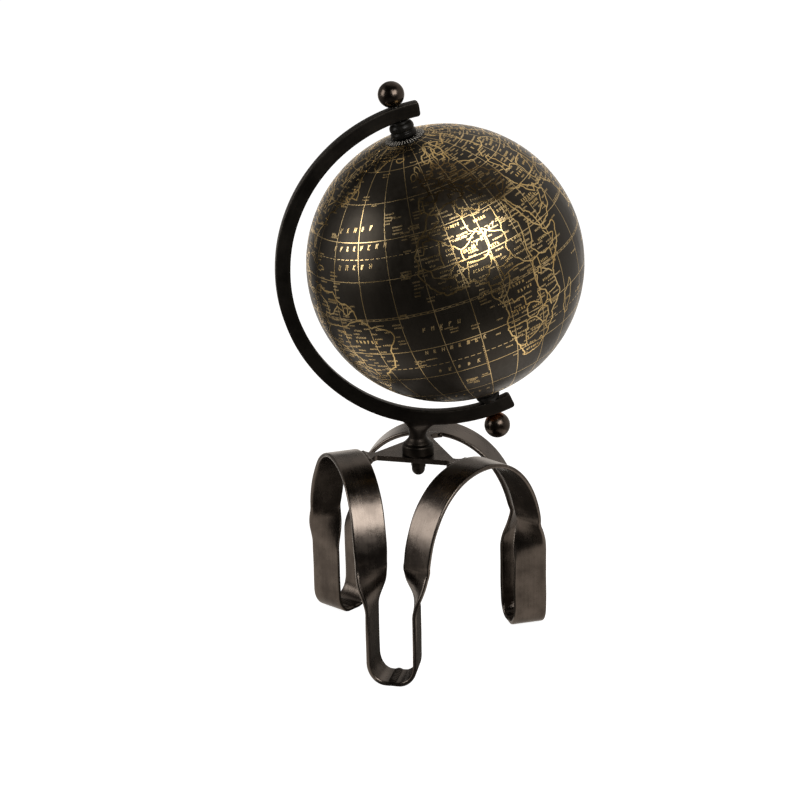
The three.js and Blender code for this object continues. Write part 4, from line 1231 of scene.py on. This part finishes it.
# Where such a map prints its larger names: latitude, first longitude, marks, height in mm, gap
COUNTRY_ROWS = """28 -1 7 2.0 1, 26.5 14 5 2.2 1, 26 27 5 2.2 1, 20 -3 4 1.9 1, 17.5 4 5 2.2 1,
    15.5 16 4 2.0 1, 14 26 5 2.2 1.2, 19.5 -12 7 1.5 1, 13 -8 6 1.5 1, 9 5 7 2.0 1, 8.5 38 8 1.8 1,
    6 18 5 1.6 1, 7 -9 5 1.4 1, 7.5 -2 5 1.5 1, 4 11.5 7 1.4 1, 2.5 42 6 1.5 1, 1 35 5 1.7 1,
    -1 10 5 1.5 1, -2 17 5 2.2 1.3, -5 20 5 2.2 1.3, -6 33 7 1.7 1, -12 15 6 2.1 1, -14 25 6 1.7 1,
    -16 36 6 1.4 1, -19 28 6 1.5 1, -22 16 7 1.5 1, -23 22.5 6 1.6 1, -30 19 5 2.2 1,
    -32.5 20 6 2.0 1, -20 45.5 5 1.5 1, 24 42 6 2.2 1.2, 21 45 6 2.0 1, 33 42 4 1.6 1,
    32.5 52 4 2.4 1.4, 38.5 31 6 1.8 1, 33.5 65 6 1.5 1, 29.5 66 6 1.5 1, 23 76 5 2.6 1.4,
    20 77 4 2.2 1, 34 100 5 3.0 2.2, 46 102 7 2.2 1.4, 48 66 7 2.0 1.2, 41 61 7 1.6 1,
    52.5 45 5 3.0 2.4, 60 96 7 3.0 2.4, 46 2 6 1.6 1, 40 -5 5 1.8 1, 51 10 6 1.5 1, 52 19 5 1.5 1,
    49 30 6 1.6 1, 43 12 4 1.3 1, 62 14 5 1.5 1, 64 26 6 1.5 1, 61.5 8 5 1.3 1, 46 24 6 1.2 1,
    -10 -55 6 2.6 1.5, -6 -65 6 1.8 1, 4 -72 7 1.6 1, 7 -66 7 1.6 1, -10 -76 4 1.6 1,
    -17 -65 6 1.6 1, -23 -59.5 6 1.3 1, -34 -66 8 1.9 1, 24 -106 6 2.2 1, 40 -105 8 2.6 2,
    36 -104 9 2.4 1.6, 56 -110 6 3.0 2.6, 65 -155 6 2.0 1, 72 -42 9 2.2 1.2, 16 -91 7 1.0 1,
    -24 124 9 2.8 1.4, 15 101 5 1.4 1, -1 113 6 1.4 1, 36.5 138 5 1.3 1, 64 150 7 2.2 1.5"""
# The same for the oceans and seas, and the row's rise
OCEAN_ROWS = """33.5 -59 5 3.2 2.3 0.05, 26.5 -61 8 3.2 2.1 0.03, 19.5 -57 5 3.2 2.3 0.03,
    -7.5 -22 5 3.0 2.1 0, -17.5 -24.5 8 3.0 2.0 0, -28 -22.5 5 3.0 2.3 0,
    -21 68 6 3.0 2.6 0, -29 70 5 3.0 2.6 0,
    15 61 7 2.2 1.5 0, 24 -150 5 3.2 2.6 0, 14 -155 7 3.2 2.6 0, -26 -130 5 3.2 2.6 0,
    -35 -132 7 3.2 2.6 0, -52 80 8 2.6 2.2 0, -52 150 8 2.6 2.2 0, -50 -40 8 2.6 2.2 0,
    10 140 6 2.6 2.2 0, 17.5 8 6 3.2 1.35 0.35, 70 20 5 1.6 1.6 0, 34.5 18 8 1.2 1.4 -0.1"""
NOTE_SIZE, NOTE_PITCH = 0.95, 1.25      # height in mm, and degrees of latitude between rows
# Notes printed beside islands and on the open sea: latitude, first longitude, rows
NOTES = """39.5 -30 4, 34 -26 3, 31 -22 3, 38 -14 3, 29 -17.5 3, 33 -17 2, 16.5 -25 3, 0.5 -30 2,
    -9.3 -11.5 2, -10.5 -3 2, -20.5 -31 3, -20.5 -26 1, -37 -13 3, -36.5 -5 2, -40.5 -10 1,
    32.5 -66 2, 44 -40 1, 2 4 2, -54 -37 2, -10 -34 2, 8 -21 2, 12 -20.5 3, 5 -17 2, -1 3 3,
    24 -75 3, 18 -63 3, 14 -61 3, 15 -71 2, 25 -90 2, 20 -95 2, -3 -34 2, 48 -48 2, 58 -36 2"""
# Small islands: latitude, longitude
ISLANDS = """38.5 -28, 38 -25.5, 32.7 -17, 28.3 -16, 28.4 -14.3, 16 -24, 15 -23.5, -8 -14.4, -16 -5.7,
    -20.5 -29.3, 32.3 -64.8, 0 6.6, -54.4 -36.5, -51.7 -59, -21 55.5, -20.3 57.5, -4.6 55.4,
    4 73, -49 69.5, 21 -157, 19.6 -155.5, -17.6 -149.5, -13.8 -172, -18 178, -21 165,
    7.5 134.5, 13.4 144.8, -27.1 -109.4, -0.6 -90.8, -37.1 -12.3, -6.3 71.9, 12.5 93, 62 -7,
    60.3 -1.3, 71 -8.5"""


def numbers(text):
    """Groups of numbers, with commas between the groups."""
    return [[float(n) for n in group.split()] for group in text.split(",")]


def labels():
    """Rows of small marks where such a map prints its names, a mesh for each part of the map."""
    rng = random.Random(5)
    used = []

    def free(lat, lon, wide, tall):
        narrow = math.cos(math.radians(lat))
        return all(abs(lat - a) > tall or abs(lon - b) * narrow > wide for a, b in used)

    names = Ink(height=0.055)
    for lat, lon, count, size, gap in numbers(COUNTRY_ROWS):
        mark_row(names, lat, lon, int(count), size * 0.9, rng, gap * 1.05, slant=0)
        for i in range(int(count * size * gap / 5) + 1):
            used.append((lat + 0.4, lon + 1.5 + 3.2 * i))
    names.finish("map_country_names", gold_bold)

    sea = Ink(height=0.05)
    for lat, lon, count, size, gap, rise in numbers(OCEAN_ROWS):
        mark_row(sea, lat, lon, int(count), size, rng, gap, rise, slant=0.3)
    for lat, lon, rows in numbers(NOTES):
        for row in range(int(rows)):
            row_lat = lat - NOTE_PITCH * row
            first = lon + rng.uniform(0, 0.8)
            mark_row(sea, row_lat, first, rng.randint(5, 9), NOTE_SIZE, rng, gap=0.95)
            used.append((row_lat, lon + 3))
    sea.finish("map_ocean_names", gold_fine)

    for name, tries in (("africa", 1500), ("eurasia", 3600), ("north_america", 1600),
                        ("south_america", 1100), ("australia", 400), ("greenland", 120)):
        ink = Ink(height=0.045)
        polygon = parse(COASTS[name])
        lats, lons = [p[0] for p in polygon], [p[1] for p in polygon]
        for _ in range(tries):
            lat, lon = rng.uniform(min(lats), max(lats)), rng.uniform(min(lons), max(lons))
            count, size = rng.randint(4, 8), rng.choice(SMALL_SIZES)
            dense = 0.75 if 36 < lat < 60 and -10 < lon < 50 else 1.0
            if inside(polygon, lat, lon) and free(lat, lon, CLEAR_WIDE * dense, CLEAR_TALL * dense):
                used.append((lat, lon))
                mark_row(ink, lat, lon - 1.8, count, size * dense, rng)
                if rng.random() < 0.35:
                    dot(ink, lat + 0.3, lon - 2.6, TOWN_SIZE)
        for lat, lon in polygon[::2]:
            for shift in (-5.6, 0.8):
                middle = lon + shift + 2.2
                if not inside(polygon, lat, middle) and free(lat, middle, 4.0, 1.0):
                    used.append((lat, middle))
                    mark_row(ink, lat, lon + shift, rng.randint(4, 7), NOTE_SIZE, rng)
                    break
        ink.finish(f"map_small_names_{name}", gold_fine)

    ink = Ink(height=0.045)
    for lat, lon in numbers(ISLANDS):
        dot(ink, lat, lon, ISLAND_SIZE)
        mark_row(ink, lat - 0.4, lon + 1.2, rng.randint(4, 8), 0.9, rng)
    for i in range(14):                # a ladder of ticks down the zero meridian
        lat = -21 - i * 1.05
        ink.path([(lat, -0.5), (lat + 0.6, -0.5)], 0.3)
        ink.path([(lat + 0.3, -0.75), (lat + 0.3, 0.1)], 0.22)
    ink.finish("map_islands", gold_fine)


graticule()
outlines()
labels()


# ---- CAD nodes that stay as they are ----------------------------------------------

for node, material in (("axle_rod", steel), ("centre_stud", steel), ("equator_joiner_ring", nylon),
                       ("north_pole_bush", nylon), ("south_pole_bush", nylon)):
    mesh = frame["nodes"][node].data
    mesh.materials.clear()
    mesh.materials.append(material)


# ---- Floor, lights and surroundings ------------------------------------------------

SOFTBOX_COLOUR, TABLE_COLOUR = (1.0, 0.96, 0.91), (1.0, 0.91, 0.81)


def pale_floor():
    """A large, evenly bright floor just under the feet, unseen in reflections."""
    material = new_material("pale_floor", Roughness=0.9, Base_Color=(0.5, 0.5, 0.5, 1),
                            Emission_Color=(1, 1, 1, 1), Emission_Strength=0.93,
                            Specular_IOR_Level=0.0)[0]
    mesh = bpy.data.meshes.new("floor")
    size = 12.0
    corners = [(-size, -size, 0), (size, -size, 0), (size, size, 0), (-size, size, 0)]
    mesh.from_pydata(corners, [], [(0, 1, 2, 3)])
    mesh.materials.append(material)
    floor = bpy.data.objects.new("floor", mesh)
    floor.location.z = -0.0002
    floor.visible_glossy = False
    bpy.context.scene.collection.objects.link(floor)


def area_light(name, width, depth, radiance, colour):
    """A rectangular light of the given radiance."""
    data = bpy.data.lights.new(name, "AREA")
    data.shape = "RECTANGLE"
    data.size, data.size_y = width, depth
    data.energy = radiance * math.pi * width * depth
    data.color = colour
    light = bpy.data.objects.new(name, data)
    bpy.context.scene.collection.objects.link(light)
    return light


def softbox(name, direction_out, distance, width, height, radiance):
    """A light that faces the globe's centre from the given direction."""
    light = area_light(name, width, height, radiance, SOFTBOX_COLOUR)
    outward = Vector(direction_out).normalized()
    light.location = GLOBE_CENTRE + outward * distance
    light.rotation_mode = "QUATERNION"
    light.rotation_quaternion = (-outward).to_track_quat("-Z", "Y")


def table_glow(name, centre, width, depth, radiance):
    """The pale table's glow close to the stand, as a low light that faces up."""
    light = area_light(name, width, depth, radiance, TABLE_COLOUR)
    light.location = (centre[0], centre[1], 0.001)
    light.rotation_euler = (math.pi, 0, 0)
    light.visible_camera = False


def table_shade(centre, radius):
    """The dim table under the stand, which only reflections see."""
    material = new_material("table_shade", Roughness=0.9, Specular_IOR_Level=0.0,
                            Base_Color=(0.12, 0.112, 0.102, 1))[0]
    disc = bmesh.new()
    bmesh.ops.create_circle(disc, cap_ends=True, segments=48, radius=radius,
                            matrix=Matrix.Translation((centre[0], centre[1], 0.0)))
    mesh = bpy.data.meshes.new("table_shade")
    disc.to_mesh(mesh)
    disc.free()
    mesh.materials.append(material)
    shade = bpy.data.objects.new("table_shade", mesh)
    shade.location.z = -0.0001
    shade.visible_camera = False
    shade.visible_diffuse = False
    shade.visible_shadow = False
    bpy.context.scene.collection.objects.link(shade)


def surroundings():
    """A studio: white backdrop straight behind, grey to the right, dim in front and overhead."""
    world = bpy.data.worlds.new("studio")
    bpy.context.scene.world = world
    world.use_nodes = True
    tree = world.node_tree
    tree.nodes.clear()
    place = add(tree, "TexCoord").outputs["Generated"]

    def lobe(centre, start, full, amount):
        """Brightness round a direction. start and full are cosines of the angle from it."""
        facing = add(tree, "VectorMath", {0: place, 1: Vector(centre).normalized()},
                     operation="DOT_PRODUCT").outputs["Value"]
        return span(tree, facing, start, full, 0.0, amount)

    right = lobe((0.94, 0.34, -0.05), 0.30, 0.75, 0.43)
    left = lobe((-0.87, 0.50, 0.05), 0.55, 0.90, 0.24)
    below_top = lobe((0, 0, -1), -0.88, -0.68, 1.0)
    level = combine(tree, "MULTIPLY", combine(tree, "ADD", right, left), below_top)
    high_behind = lobe((0.21, 0.58, 0.79), 0.77, 0.93, 0.42)
    low_behind = lobe((0.139, 0.926, -0.352), 0.85, 0.91, 0.95)
    table = lobe((0.0, -0.25, -0.97), 0.30, 0.80, 0.10)
    dim_everywhere = 0.018
    for part in (high_behind, low_behind, table, dim_everywhere):
        level = combine(tree, "ADD", level, part)
    seen = add(tree, "LightPath").outputs["Is Camera Ray"]
    warm = blend_colour(tree, level, (0, 0, 0, 1), (1.0, 0.93, 0.85, 1))
    strength = blend_colour(tree, seen, warm, (1, 1, 1, 1))
    background = add(tree, "Background", {"Color": strength, "Strength": 1.0})
    output = add(tree, "OutputWorld")
    tree.links.new(background.outputs[0], output.inputs[0])


def towards(azimuth, elevation):
    """Direction from the object; azimuth 0 is the front (-Y) and 90 the right (+X)."""
    a, e = math.radians(azimuth), math.radians(elevation)
    return (math.sin(a) * math.cos(e), -math.cos(a) * math.cos(e), math.sin(e))


pale_floor()
surroundings()
softbox("key_softbox", towards(23, 35), distance=1.3, width=0.84, height=0.74, radiance=7.2)
softbox("left_softbox", towards(-90, 19), distance=1.4, width=0.65, height=0.85, radiance=4.4)
table_glow("table_glow_right", (0.17, -0.20), width=0.24, depth=0.44, radiance=0.60)
table_glow("table_glow_left", (-0.21, 0.03), width=0.30, depth=0.34, radiance=0.60)
table_shade((0.03, 0.04), radius=0.13)
bpy.context.scene.view_settings.view_transform = "Standard"
